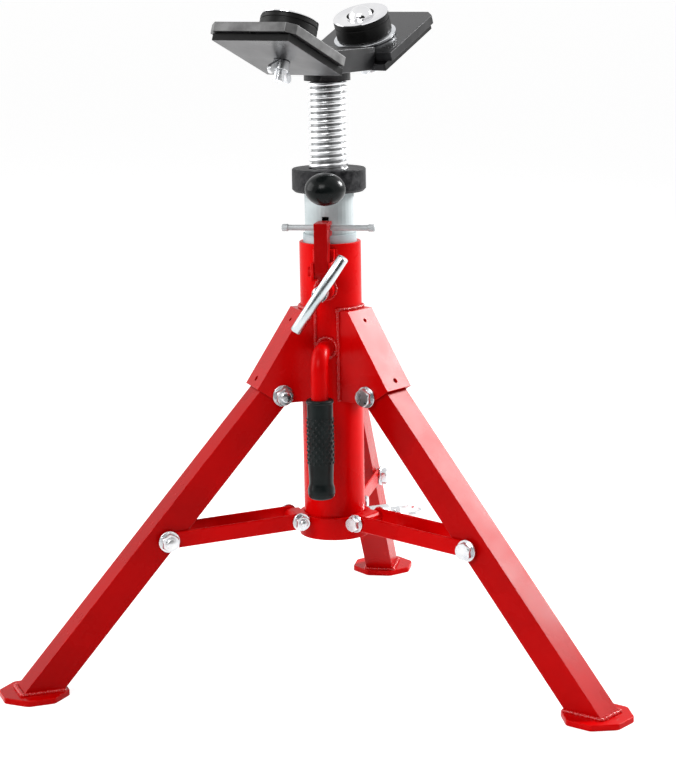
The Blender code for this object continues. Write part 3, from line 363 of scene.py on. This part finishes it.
def six_sided(corner, limit):
    """The reach of a hexagon with that corner radius, rounded off at the limit."""
    flat = corner * math.cos(math.pi / 6)
    return lambda angle: min(flat / math.cos(angle % (math.pi / 3) - math.pi / 6), limit)


def aimed(mesh, place, axis):
    """Turns a shape made along Z to an axis and moves it to its place."""
    turn = Vector((0, 0, 1)).rotation_difference(Vector(axis)).to_matrix().to_4x4()
    mesh.transform(Matrix.Translation(place) @ turn)
    return mesh


SLOT_FINISHES = {"red_paint": RED, "zinc_plate": ZINC, "black_cast": SATIN, "bright_steel": CHROME}
for slot, material in SLOT_FINISHES.items():
    coat(material, *[node for node, kept in SLOT_OF.items() if kept == slot])
coat(GRIP, "handle_grip")
coat(BUSH, "guide_bush_upper", "guide_bush_lower")
coat(TUBE_ZINC, "inner_tube")
coat(RED, "lever_pin")


# What follows a path or repeats, by Geometry Nodes


def plain_mesh(source):
    """The evaluated shape as a plain mesh; the source is removed."""
    bpy.context.view_layer.update()
    graph = bpy.context.evaluated_depsgraph_get()
    mesh = bpy.data.meshes.new_from_object(source.evaluated_get(graph))
    source.modifiers.clear()
    bpy.data.objects.remove(source)
    return mesh


def run_tree(tree, mesh, **values):
    """Runs a tree on a mesh with its named inputs, each set by its identifier."""
    holder = added("source", mesh)
    step = holder.modifiers.new("grow", "NODES")
    step.node_group = tree
    for entry in tree.interface.items_tree:
        if entry.in_out == "INPUT" and entry.name in values:
            step[entry.identifier] = values[entry.name]
    return plain_mesh(holder)


def new_tree(name, inputs):
    """An empty tree that takes geometry and the named inputs, with its node and link makers."""
    tree = bpy.data.node_groups.new(name, "GeometryNodeTree")
    tree.interface.new_socket("Geometry", in_out="INPUT", socket_type="NodeSocketGeometry")
    for label, kind in inputs:
        tree.interface.new_socket(label, in_out="INPUT", socket_type=kind)
    tree.interface.new_socket("Geometry", in_out="OUTPUT", socket_type="NodeSocketGeometry")
    return tree, tree.nodes.new, tree.links.new


def lay_and_paint(add, link, points, shape, turn, material, end):
    """Sets a shape on every point, makes it real and paints it. Gives the node that lays it."""
    lay, real = add("GeometryNodeInstanceOnPoints"), add("GeometryNodeRealizeInstances")
    paint = add("GeometryNodeSetMaterial")
    link(points, lay.inputs["Points"])
    link(shape, lay.inputs["Instance"])
    link(turn, lay.inputs["Rotation"])
    link(lay.outputs["Instances"], real.inputs["Geometry"])
    link(real.outputs["Geometry"], paint.inputs["Geometry"])
    link(material, paint.inputs["Material"])
    link(paint.outputs["Geometry"], end.inputs["Geometry"])
    return lay


def weld_tree():
    """Overlapping ripples of weld metal along every edge of a path, each a little larger or smaller."""
    segments, rings, smallest, largest, seed = 10, 6, 0.85, 1.12, 7
    tree, add, link = new_tree("weld bead", (("Pitch", "NodeSocketFloat"), ("Radius", "NodeSocketFloat"),
                                             ("Paint", "NodeSocketMaterial")))
    start, end = add("NodeGroupInput"), add("NodeGroupOutput")
    path, even = add("GeometryNodeMeshToCurve"), add("GeometryNodeResampleCurve")
    even.mode = "LENGTH"
    ripple = add("GeometryNodeMeshUVSphere")
    ripple.inputs["Segments"].default_value = segments
    ripple.inputs["Rings"].default_value = rings
    tangent, aim = add("GeometryNodeInputTangent"), add("FunctionNodeAlignRotationToVector")
    aim.axis = "Z"
    vary = add("FunctionNodeRandomValue")
    vary.data_type = "FLOAT"
    low, high = [entry for entry in vary.inputs if entry.type == "VALUE" and entry.name in ("Min", "Max")]
    low.default_value = smallest
    high.default_value = largest
    vary.inputs["Seed"].default_value = seed
    link(start.outputs["Geometry"], path.inputs["Mesh"])
    link(path.outputs["Curve"], even.inputs["Curve"])
    link(start.outputs["Pitch"], even.inputs["Length"])
    link(start.outputs["Radius"], ripple.inputs["Radius"])
    link(tangent.outputs["Tangent"], aim.inputs["Vector"])
    lay = lay_and_paint(add, link, even.outputs["Curve"], ripple.outputs["Mesh"], aim.outputs["Rotation"],
                        start.outputs["Paint"], end)
    link(next(entry for entry in vary.outputs if entry.type == "VALUE"), lay.inputs["Scale"])
    return tree


def fastener_tree():
    """Sets a template on every point, with its Z along the point's axis attribute."""
    tree, add, link = new_tree("fasteners", (("Template", "NodeSocketObject"), ("Plate", "NodeSocketMaterial")))
    start, end = add("NodeGroupInput"), add("NodeGroupOutput")
    shape, way = add("GeometryNodeObjectInfo"), add("GeometryNodeInputNamedAttribute")
    way.data_type = "FLOAT_VECTOR"
    way.inputs["Name"].default_value = "axis"
    aim = add("FunctionNodeAlignRotationToVector")
    aim.axis = "Z"
    link(start.outputs["Template"], shape.inputs["Object"])
    link(next(entry for entry in way.outputs if entry.name == "Attribute" and entry.enabled), aim.inputs["Vector"])
    lay_and_paint(add, link, start.outputs["Geometry"], shape.outputs["Geometry"], aim.outputs["Rotation"],
                  start.outputs["Plate"], end)
    return tree


WELD = weld_tree()
FASTEN = fastener_tree()
WELD_PITCH = 0.85


def weld(name, body, paths, radius, material):
    """Beads along several lists of points; the ripples stand WELD_PITCH times their radius apart."""
    mesh = bpy.data.meshes.new(name)
    points, edges = [], []
    for path in paths:
        first = len(points)
        points += [tuple(point) for point in path]
        edges += [(first + i, first + i + 1) for i in range(len(path) - 1)]
    mesh.from_pydata(points, edges, [])
    made = run_tree(WELD, mesh, Pitch=radius * WELD_PITCH, Radius=radius, Paint=material)
    return piece(name, made, material, body=body, sharp=80)


def set_on(name, template, spots, material, nodes=(), body=None):
    """A template mesh set at each (point, outward axis)."""
    mesh = bpy.data.meshes.new(name)
    mesh.from_pydata([tuple(point) for point, axis in spots], [], [])
    axes = mesh.attributes.new("axis", "FLOAT_VECTOR", "POINT")
    for entry, (point, axis) in zip(axes.data, spots):
        entry.vector = axis
    pattern = added("template", template)
    made = run_tree(FASTEN, mesh, Template=pattern, Plate=material)
    bpy.data.objects.remove(pattern)
    return piece(name, made, material, nodes, body, sharp=35)


def thread_reach(root, crest, pitch, height):
    """The radius of a right-hand thread at a height, for each angle. Widths are shares of a pitch."""
    half_crest, flank, crown = 0.26, 0.13, 0.12

    def reach(angle):
        phase = (height / pitch - angle / math.tau) % 1.0
        side = abs(phase - 0.5)
        rise = clamped((side - half_crest) / flank)
        dome = crown * min(side / half_crest, 1.0) ** 2
        return crest - (crest - root) * max(rise, dome)
    return reach


def hex_head(corner, height, washer, shank, depth, tail=0.0):
    """A chamfered hexagon on a washer, its shank below and any thread end above."""
    washer_top, lip, lower_chamfer, upper_chamfer = 0.002, 0.0003, 0.0006, 0.0008
    flat = corner * math.cos(math.pi / 6)
    top = washer_top + height
    rings = turned([(-depth, shank)]) if depth else []
    rings += turned([(0.0, shank), (0.0, washer - lip), (lip, washer), (washer_top - lip, washer),
                     (washer_top, washer - lip)])
    rings += [(level, six_sided(corner, limit)) for level, limit in (
        (washer_top, flat * 1.02), (washer_top + lower_chamfer, flat * 1.09),
        (washer_top + 2 * lower_chamfer, corner), (top - 2 * upper_chamfer, corner),
        (top - upper_chamfer, flat * 1.07), (top, flat * 0.97))]
    if tail:
        pitch, root, tip, tip_height, steps = 0.0015, shank * 0.88, shank * 0.8, 0.0004, 14
        rings += turned([(top, shank)])
        rings += [(top + tail * i / steps, thread_reach(root, shank, pitch, tail * i / steps))
                  for i in range(1, steps + 1)]
        rings += turned([(top + tail + tip_height, tip)])
    else:
        crown_height = 0.0001
        rings += turned([(top + crown_height, flat * 0.5)])
    return rings_mesh("hex_head", rings, MEDIUM)


def bolts():
    """Hexagon bolts and nuts of the leg pivots, the collar lugs and the links."""
    large = {"corner": 0.0092, "washer": 0.0105, "shank": 0.005}
    small = {"corner": 0.0075, "washer": 0.0088, "shank": 0.004}
    half_grip, head_height, nut_height, thread_end, stub = 0.0188, 0.0062, 0.0066, 0.004, 0.003
    for label, joint_name, nodes, size, body in (
            ("pivot", "leg_fold_", "leg_pivot_bolt_", large, "mast"),
            ("collar", "link_fold_", "collar_bolt_", small, "collar")):
        heads, nuts = [], []
        for name in LEG_ANGLES:
            centre, axis = joint(joint_name + name)
            heads.append((centre - axis * half_grip, -axis))
            nuts.append((centre + axis * half_grip, axis))
        set_on(label + "_bolt_heads", hex_head(height=head_height, depth=2 * half_grip, **size), heads, ZINC,
               [nodes + name for name in LEG_ANGLES])
        set_on(label + "_nuts", hex_head(height=nut_height, depth=0.0, tail=thread_end, **size), nuts, ZINC,
               body=body)
    for name in LEG_ANGLES:
        pivot, axis = joint("link_fold_" + name)
        centre = middle("link_bolt_" + name) / 2 + middle("link_nut_" + name) / 2
        centre = centre - axis * (centre - pivot).dot(axis)
        set_on("link_bolt_head_" + name, hex_head(height=head_height, depth=stub, **large),
               [(centre - axis * half_grip, -axis)], ZINC, ["link_bolt_" + name])
        set_on("link_bolt_nut_" + name, hex_head(height=nut_height, depth=stub, tail=thread_end, **large),
               [(centre + axis * half_grip, axis)], ZINC, ["link_nut_" + name])


def welds():
    """Beads where the brackets, handle, boss, lever block and feet meet what carries them."""
    tube = 0.0306
    bead = {"bracket": 0.0023, "foot": 0.0026, "handle": 0.0027, "boss": 0.0017, "lever_block": 0.0016}
    bracket_bottom, bracket_corner, bracket_top, half_angle, arc_steps = 0.2705, 0.3585, 0.3590, 38.4, 24
    leg_set_in, leg_along, leg_half, above_plate = 0.0056, 0.0207, 0.0154, 0.0006
    for name, angle in LEG_ANGLES.items():
        start, end = angle - half_angle, angle + half_angle
        path = [around(start, tube, bracket_bottom), around(start, tube, bracket_corner)]
        path += [around(start + 2 * half_angle * i / arc_steps, tube, bracket_top) for i in range(arc_steps + 1)]
        path += [around(end, tube, bracket_corner), around(end, tube, bracket_bottom)]
        weld("bracket_weld_" + name, "mast", [path], bead["bracket"], WELD_RED)

        plate_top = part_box("foot_plate_" + name)[1][2]
        reach = (middle("foot_plate_" + name) - MAST).xy.length - leg_set_in
        inner, outer = reach - leg_along, reach + leg_along
        corners = [(inner, -leg_half), (outer, -leg_half), (outer, leg_half), (inner, leg_half), (inner, -leg_half)]
        turn = Matrix.Rotation(math.radians(angle), 3, "Z")
        loop = [MAST + turn @ Vector((r, t, plate_top + above_plate)) for r, t in corners]
        weld("foot_weld_" + name, "leg_" + name, [loop], bead["foot"], WELD_RED)

    def ring_on_tube(reach, height, steps=32):
        """A ring of that radius laid on the front of the outer tube."""
        points = []
        for i in range(steps + 1):
            angle = math.tau * i / steps
            x = reach * math.cos(angle)
            points.append(MAST + Vector((x, -math.sqrt(tube ** 2 - x ** 2), height + reach * math.sin(angle))))
        return points

    handle_ring = ring_on_tube(reach=0.0094, height=0.322)
    boss_ring = ring_on_tube(reach=0.0102, height=0.3795)
    weld("handle_weld", "mast", [handle_ring], bead["handle"], WELD_RED)
    weld("boss_weld", "mast", [boss_ring], bead["boss"], WELD_RED)
    low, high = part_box("lever_bracket")
    beside, short = 0.0004, 0.001
    sides = []
    for x in (low[0] - beside, high[0] + beside):
        y = -math.sqrt(tube ** 2 - x ** 2)
        sides.append([MAST + Vector((x, y, low[2] + short)), MAST + Vector((x, y, high[2] - short))])
    weld("lever_block_weld", "mast", sides, bead["lever_block"], RED)


# Single pieces


def jack_screw():
    """The screw's thread and journal, with painted shade in the grooves and on the screw below the inner tube's
    top.
    """
    low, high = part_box("jack_screw")
    pitch, root, crest = 0.006, 0.0164, 0.0190
    shoulder, journal, tip, chamfer = 0.578, 0.014, 0.0150, 0.001
    step = pitch / 20
    rows = int((shoulder - low[2] - 2 * chamfer) / step)
    rings = turned([(low[2], tip)])
    rings += [(low[2] + chamfer + i * step, thread_reach(root, crest, pitch, i * step)) for i in range(rows)]
    rings += turned([(shoulder, root), (shoulder, journal), (high[2], journal)])
    mesh = rings_mesh("jack_screw", rings, FINE)

    # Painted shade: the groove attribute darkens the deepest part of each groove and, fading in, the screw below
    # the inner tube's top.
    painted_shade = mesh.attributes.new("groove", "FLOAT", "POINT")
    tube_top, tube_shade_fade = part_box("inner_tube")[1][2], 0.012
    groove_shade_most, groove_shade_from, groove_shade_over = 0.75, 0.55, 0.4
    for entry, point in zip(painted_shade.data, mesh.vertices):
        threaded = point.co.z < shoulder - chamfer
        depth = (crest - point.co.xy.length) / (crest - root) if threaded else 0.0
        groove_shade = groove_shade_most * clamped((depth - groove_shade_from) / groove_shade_over)
        tube_shade = clamped((tube_top - point.co.z) / tube_shade_fade)
        entry.value = max(groove_shade, tube_shade)
    mesh.transform(Matrix.Translation(MAST))
    piece("jack_screw_thread", mesh, THREAD_ZINC, ("jack_screw",), sharp=70)


def grip():
    """A moulded grip: a lip and a neck at its lower end, rows of studs on its upper half and a rolled rim."""
    low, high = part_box("handle_grip")
    centre = middle("handle_grip")
    length = high[2] - low[2]
    foot = ((0.0, 0.0075), (0.0008, 0.0104), (0.0020, 0.0118))
    outline = ((0.03, 0.0124), (0.06, 0.0131), (0.09, 0.0131), (0.17, 0.0118), (0.40, 0.0125), (1.0, 0.0125))
    rim = ((0.0030, 0.0133), (0.0010, 0.0133), (0.0, 0.0122), (0.0, 0.0086))
    bore, bore_floor = 0.0086, 0.1873
    body_start, ends, rows = 0.0030, 0.0065, 190
    studs, stud_row, stud_depth, studded, columns_per_stud = 14, 0.008, 0.0009, (0.36, 0.82), 12

    def plain_radius(share):
        for (start, before), (end, after) in zip(outline, outline[1:]):
            if share <= end:
                part = max((share - start) / (end - start), 0.0)
                return before + (after - before) * part * part * (3 - 2 * part)
        return outline[-1][1]

    def body(height):
        share = height / length
        radius = plain_radius(share)
        depth = stud_depth if studded[0] < share < studded[1] else 0.0

        def reach(angle):
            climb = math.tau * height / stud_row
            stud = max(math.sin(studs * angle + climb), 0) * max(math.sin(studs * angle - climb), 0)
            return radius + depth * min(stud * 2.0, 1.0)
        return reach

    rings = turned([(low[2] + up, radius) for up, radius in foot])
    for i in range(rows + 1):
        height = body_start + (length - ends) * i / rows
        rings.append((low[2] + height, body(height)))
    rings += turned([(high[2] - down, radius) for down, radius in rim] + [(bore_floor, bore)])
    mesh = rings_mesh("handle_grip", rings, columns_per_stud * studs)
    mesh.transform(Matrix.Translation((centre.x, centre.y, 0)))
    piece("moulded_grip", mesh, GRIP, ("handle_grip",), sharp=60)


def bar_mesh(name, length, radius, ends=None):
    """A bar along Z with domed ends; ends adds a wider band of that radius and length at each end."""
    half, step = length / 2, 0.0008
    dome = ((0.0012, 1.0), (0.0004, 0.88), (0.0, 0.62))
    wide, band = ends or (radius, 0.0)
    upper = [(half - band - step, radius), (half - band, wide)] if ends else []
    upper += [(half - down, wide * share) for down, share in dome]
    lower = [(-height, reach) for height, reach in reversed(upper)]
    return rings_mesh(name, turned(lower + upper), COARSE)


def bars():
    """The lever's pull bar and the clamp screw's T-bar."""
    low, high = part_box("lever_pull_bar")
    pull_radius, pull_ends = 0.0028, (0.0036, 0.006)
    mesh = bar_mesh("pull_bar", high[0] - low[0], pull_radius, pull_ends)
    piece("pull_bar", aimed(mesh, middle("lever_pull_bar"), (1, 0, 0)), WIRE_ZINC, ("lever_pull_bar",))
    tee_length, tee_radius, lean = 0.087, 0.0055, math.radians(33.5)
    mesh = bar_mesh("tee_bar", tee_length, tee_radius)
    aimed(mesh, middle("clamp_tee_bar"), (math.sin(lean), 0, math.cos(lean)))
    piece("tee_bar", mesh, TEE_ZINC, ("clamp_tee_bar",))


def ball_knob():
    """The flattened ball on the handle nut's arm, bored for the arm."""
    way = middle("nut_knob") - joint("nut_turn")[0]
    way.z = 0
    way.normalize()
    radius, half_height, reach_out = 0.0194, 0.0156, 0.068
    seat, bore, bore_floor = -0.017, 0.0043, 0.0003
    flatness = half_height / radius
    upright = math.atan2(way.y, way.x)

    def oval(size):
        return lambda angle: size / math.hypot(math.cos(angle - upright) / flatness, math.sin(angle - upright))

    rings = turned([(bore_floor, bore), (seat, bore)])
    edge, rows = math.acos(-seat / radius), 28
    for i in range(rows):
        polar = edge + (math.pi - edge) * i / rows
        rings.append((-radius * math.cos(polar), oval(radius * math.sin(polar))))
    rings += turned([(radius, POLE)])
    mesh = rings_mesh("knob", rings, MEDIUM)
    aimed(mesh, MAST + way * reach_out + Vector((0, 0, middle("nut_knob").z)), way)
    piece("ball_knob", mesh, KNOB, ("nut_knob",), sharp=50)


def housing_mesh(low, high):
    """A ball housing between two heights: its pocket, a groove near its rim and its threaded stud below."""
    outer, centre, pocket, rim, foot = 0.0275, 0.0199, 0.0132, 0.0007, 0.0012
    groove, groove_top, groove_bottom, slope = 0.0269, high - 0.0044, high - 0.0056, 0.0004
    stud, root, pitch, thread_top, end, rows = 0.0050, 0.0044, 0.0015, -0.0174, -0.0366, 100
    tip, tip_height = 0.0042, 0.0006
    rings = []
    for degrees in (8, 25, 45, 65, 90):
        polar = math.radians(degrees)
        rings.append((centre - pocket * math.cos(polar), steady(pocket * math.sin(polar))))
    rings += turned([
        (high, pocket), (high, outer - rim), (high - rim, outer), (groove_top + slope, outer),
        (groove_top, groove), (groove_bottom, groove), (groove_bottom - slope, outer), (low + foot, outer),
        (low, outer - foot), (low, stud), (thread_top + slope, stud)])
    for i in range(rows + 1):
        height = thread_top + (end + tip_height - thread_top) * i / rows
        rings.append((height, thread_reach(root, stud, pitch, height)))
    rings += turned([(end, tip)])
    return rings_mesh("ball_housing", rings, FINE)


def ball_units():
    """Flange, threaded housing, cap, ball, wing nut and plate of each wing, set along the wing's normal."""
    wing_depth, plate_depth = 0.0073, 0.0096
    low, high = 0.0033, 0.0227
    flange = [(0.0, 0.0306), (0.0004, 0.0310), (0.0024, 0.0310), (0.0030, 0.0302), (0.0030, 0.0053),
              (0.0, 0.0053)]
    cap = [(0.0003, 0.0271), (0.0006, 0.0275), (0.0013, 0.0275), (0.0019, 0.0268), (0.0019, 0.0150),
           (0.0016, 0.0146), (0.0019, 0.0142), (0.0019, 0.0138), (0.0003, 0.0139)]
    radius, rows = 0.0127, 28
    polars = [math.pi * i / rows for i in range(1, rows)]
    ball = [(-radius, POLE)] + [(-radius * math.cos(a), radius * math.sin(a)) for a in polars] + [(radius, POLE)]
    face_on = 0.98
    for side in ("far", "near"):
        below, normal = joint("wing_nut_turn_" + side)
        seat = below + normal * (wing_depth + plate_depth)
        mesh = rings_mesh("ball_flange", turned(flange), FINE, bored=True)
        piece("flange_" + side, aimed(mesh, seat, normal), ZINC, ("ball_flange_" + side,))
        mesh = aimed(housing_mesh(low, high), seat, normal)
        housing = piece("housing_" + side, mesh, DEEP_BLACK_AND_SHADE, ("ball_housing_" + side,))
        recoat(housing, [ZINC], lambda face: 1 if (face.center - seat).dot(normal) < 0 else 0)
        mesh = rings_mesh("ball_cap", turned([(high + up, reach) for up, reach in cap]), FINE, bored=True)
        piece("cap_" + side, aimed(mesh, seat, normal), CHROME, ("ball_cap_" + side,))
        mesh = aimed(rings_mesh("ball", turned(ball), MEDIUM), middle("transfer_ball_" + side), normal)
        piece("ball_" + side, mesh, CHROME, ("transfer_ball_" + side,))
        softened("wing_nut_" + side, ZINC, 0.0008, 0.002)
        plate = softened("wing_plate_" + side, SATIN, 0.0006, 0.006)
        # Painted light on the near plate's edges, painted shade on the far plate's edges.
        recoat(plate, [LIT_PLATE_EDGE if side == "near" else SHADE],
               lambda face: 1 if abs(face.normal.dot(normal)) < face_on else 0)


def saddle():
    """The v saddle: satin below, where it catches the floor; its other faces are darker copies as painted shade,
    dull on its box and deep black on its wings' edges.
    """
    facing_down, box_reach = -0.6, 0.055

    # Faces that don't face down get darker copies of the finish as painted shade.
    def pick(face):
        if face.normal.z <= facing_down:
            return 0
        return 1 if (face.center - MAST).xy.length < box_reach else 2

    recoat(softened("v_saddle", SATIN, 0.0006, 0.006), [SHADE, DEEP_BLACK_AND_SHADE], pick)


def handle_bar():
    """The carry handle's bar, from the mast round its bend and down into the grip."""
    tube, reach, top, bottom, bend, radius, steps = 0.0302, 0.072, 0.322, 0.1876, 0.016, 0.00825, 12
    route = [(tube, top)]
    for i in range(steps + 1):
        angle = math.radians(90 - 90 * i / steps)
        route.append((reach - bend + bend * math.cos(angle), top - bend + bend * math.sin(angle)))
    route.append((reach, bottom))
    curve = bpy.data.curves.new("handle", "CURVE")
    curve.dimensions = "3D"
    curve.bevel_depth = radius
    curve.bevel_resolution = 6
    curve.use_fill_caps = True
    spline = curve.splines.new("POLY")
    spline.points.add(len(route) - 1)
    for point, (r, z) in zip(spline.points, route):
        point.co = (MAST.x, MAST.y - r, z, 1)
    piece("handle_bar", plain_mesh(added("handle", curve)), RED, ("carry_handle",), sharp=50)


def red_frame():
    """The painted pieces, each with the width of its rounded edges and the least edge that is rounded."""
    for name in LEG_ANGLES:
        softened("leg_" + name, LEG_SHADED_RED, 0.003, 0.1)
        softened("leg_bracket_" + name, BRACKET_RED, 0.0011, 0.010)
        softened("foot_plate_" + name, RED, 0.0010, 0.001)
        softened("brace_link_" + name, RED, 0.0014, 0.005)
    softened("outer_tube", MAST_LIT_RED, 0.0007, 0.004)
    softened("fold_collar", RED, 0.0006, 0.004)
    softened("lock_lever", LEVER_SHADED_RED, 0.0012, 0.004)
    softened("lever_bracket", RED, 0.0008, 0.004)
    softened("clamp_boss", RED, 0.0007, 0.003)


red_frame()
handle_bar()
grip()
bars()
ball_knob()
softened("handle_nut", CAST, 0.0006, 0.003)
softened("guide_bush_upper", BUSH, 0.0005, 0.003)
saddle()
softened("plunger_housing", ZINC, 0.0008, 0.002)
softened("clamp_screw", ZINC, 0.0009, 0.002)
jack_screw()
ball_units()
bolts()
welds()


# Stage, light and camera

WHITE = (1.0, 1.0, 1.0, 1.0)


def seen_rays(tree):
    """One for rays from the camera and for what metal or glass shows, else zero."""
    rays = tree.nodes.new("ShaderNodeLightPath")
    either, any_ray = tree.nodes.new("ShaderNodeMath"), tree.nodes.new("ShaderNodeMath")
    either.operation = any_ray.operation = "MAXIMUM"
    tree.links.new(rays.outputs["Is Camera Ray"], either.inputs[0])
    tree.links.new(rays.outputs["Is Glossy Ray"], either.inputs[1])
    tree.links.new(either.outputs["Value"], any_ray.inputs[0])
    tree.links.new(rays.outputs["Is Transmission Ray"], any_ray.inputs[1])
    return any_ray.outputs["Value"]


def shader_mix(tree, factor, first, second):
    """The mix of two shaders; the factor is a number or a socket."""
    mix = tree.nodes.new("ShaderNodeMixShader")
    if isinstance(factor, float):
        mix.inputs["Fac"].default_value = factor
    else:
        tree.links.new(factor, mix.inputs["Fac"])
    tree.links.new(first, mix.inputs[1])
    tree.links.new(second, mix.inputs[2])
    return mix.outputs["Shader"]


def sheet(name, corners, material):
    """A flat sheet with four corners."""
    mesh = bpy.data.meshes.new(name)
    mesh.from_pydata(corners, [], [(0, 1, 2, 3)])
    mesh.materials.append(material)
    return added(name, mesh)


def matt(name, grey, rough):
    """A plain grey material, with its node tree and shader."""
    material = bpy.data.materials.new(name)
    material.use_nodes = True
    shader = material.node_tree.nodes["Principled BSDF"]
    shader.inputs["Base Color"].default_value = (grey, grey, grey, 1.0)
    shader.inputs["Roughness"].default_value = rough
    return material, material.node_tree, shader


def floor_and_world():
    """A floor and a world that look white, but light the part only softly."""
    floor_glow, world_light, world_look = 1.7, 0.24, 1.0
    pale, tree, shader = matt("pale floor", 0.86, 0.9)
    glow = tree.nodes.new("ShaderNodeEmission")
    glow.inputs["Strength"].default_value = floor_glow
    glow.inputs["Color"].default_value = WHITE
    bright = shader_mix(tree, 0.5, shader.outputs["BSDF"], glow.outputs["Emission"])
    look = shader_mix(tree, seen_rays(tree), shader.outputs["BSDF"], bright)
    tree.links.new(look, tree.nodes["Material Output"].inputs["Surface"])
    floor = sheet("floor", [(-20, -6, 0), (20, -6, 0), (20, 40, 0), (-20, 40, 0)], pale)

    world = bpy.data.worlds.new("studio")
    bpy.context.scene.world = world
    world.use_nodes = True
    tree = world.node_tree
    back, seen = tree.nodes["Background"], tree.nodes.new("ShaderNodeBackground")
    for node, strength in ((back, world_light), (seen, world_look)):
        node.inputs["Color"].default_value = WHITE
        node.inputs["Strength"].default_value = strength
    look = shader_mix(tree, seen_rays(tree), back.outputs["Background"], seen.outputs["Background"])
    tree.links.new(look, tree.nodes["World Output"].inputs["Surface"])


def card_and_lamps():
    """A dark card for bright metal to show, seen by nothing else, and three lamps."""
    dark, _, shader = matt("dark card", 0.01, 1.0)
    shader.inputs["Specular IOR Level"].default_value = 0.0
    near, far = ((-1.3, -1.2, 0.003), (1.9, -1.2, 0.003)), ((2.4, -3.4, 2.6), (-1.6, -3.4, 2.6))
    card = sheet("dark_card", [*near, *far], dark)
    card.visible_camera = card.visible_diffuse = card.visible_shadow = False

    aim = Vector((0, 0, 0.3))
    for name, place, power, size in (
            ("key", (-0.5, -2.2, 1.9), 42.0, 1.2),
            ("right_back", (1.6, 1.1, 1.45), 82.0, 0.7),
            ("left_side", (-1.9, -0.1, 1.0), 26.0, 1.5)):
        lamp = bpy.data.lights.new(name, "AREA")
        lamp.energy = power
        lamp.size = size
        holder = added(name, lamp)
        holder.location = place
        holder.rotation_euler = (aim - Vector(place)).to_track_quat("-Z", "Y").to_euler()


def photo_camera():
    """The camera fitted to the photograph: turned about the mast, then yawed, pitched and rolled."""
    azimuth, yaw, pitch, roll = (math.radians(value) for value in (10.0, 0.1475, 11.4316, -1.0))
    sensor_width, focal_pixels, picture_width = 36.0, 2166, 676
    stand = Vector((0, -2.100, 0.706))
    turn = Matrix.Rotation(azimuth, 3, "Z")
    forward = Vector((math.sin(yaw) * math.cos(pitch), math.cos(yaw) * math.cos(pitch), -math.sin(pitch)))
    right = Vector((math.cos(yaw), -math.sin(yaw), 0))
    up = right.cross(forward)
    across = turn @ (math.cos(roll) * right + math.sin(roll) * up)
    upward = turn @ (-math.sin(roll) * right + math.cos(roll) * up)
    away = turn @ forward
    spot = MAST + turn @ stand
    camera = bpy.data.cameras.new("camera")
    camera.sensor_fit = "HORIZONTAL"
    camera.sensor_width = sensor_width
    camera.lens = sensor_width * focal_pixels / picture_width
    holder = added("camera", camera)
    holder.matrix_world = Matrix((
        (across.x, upward.x, -away.x, spot.x), (across.y, upward.y, -away.y, spot.y),
        (across.z, upward.z, -away.z, spot.z), (0, 0, 0, 1)))
    bpy.context.scene.camera = holder


floor_and_world()
card_and_lamps()
photo_camera()
bpy.context.scene.view_settings.view_transform = "Standard"
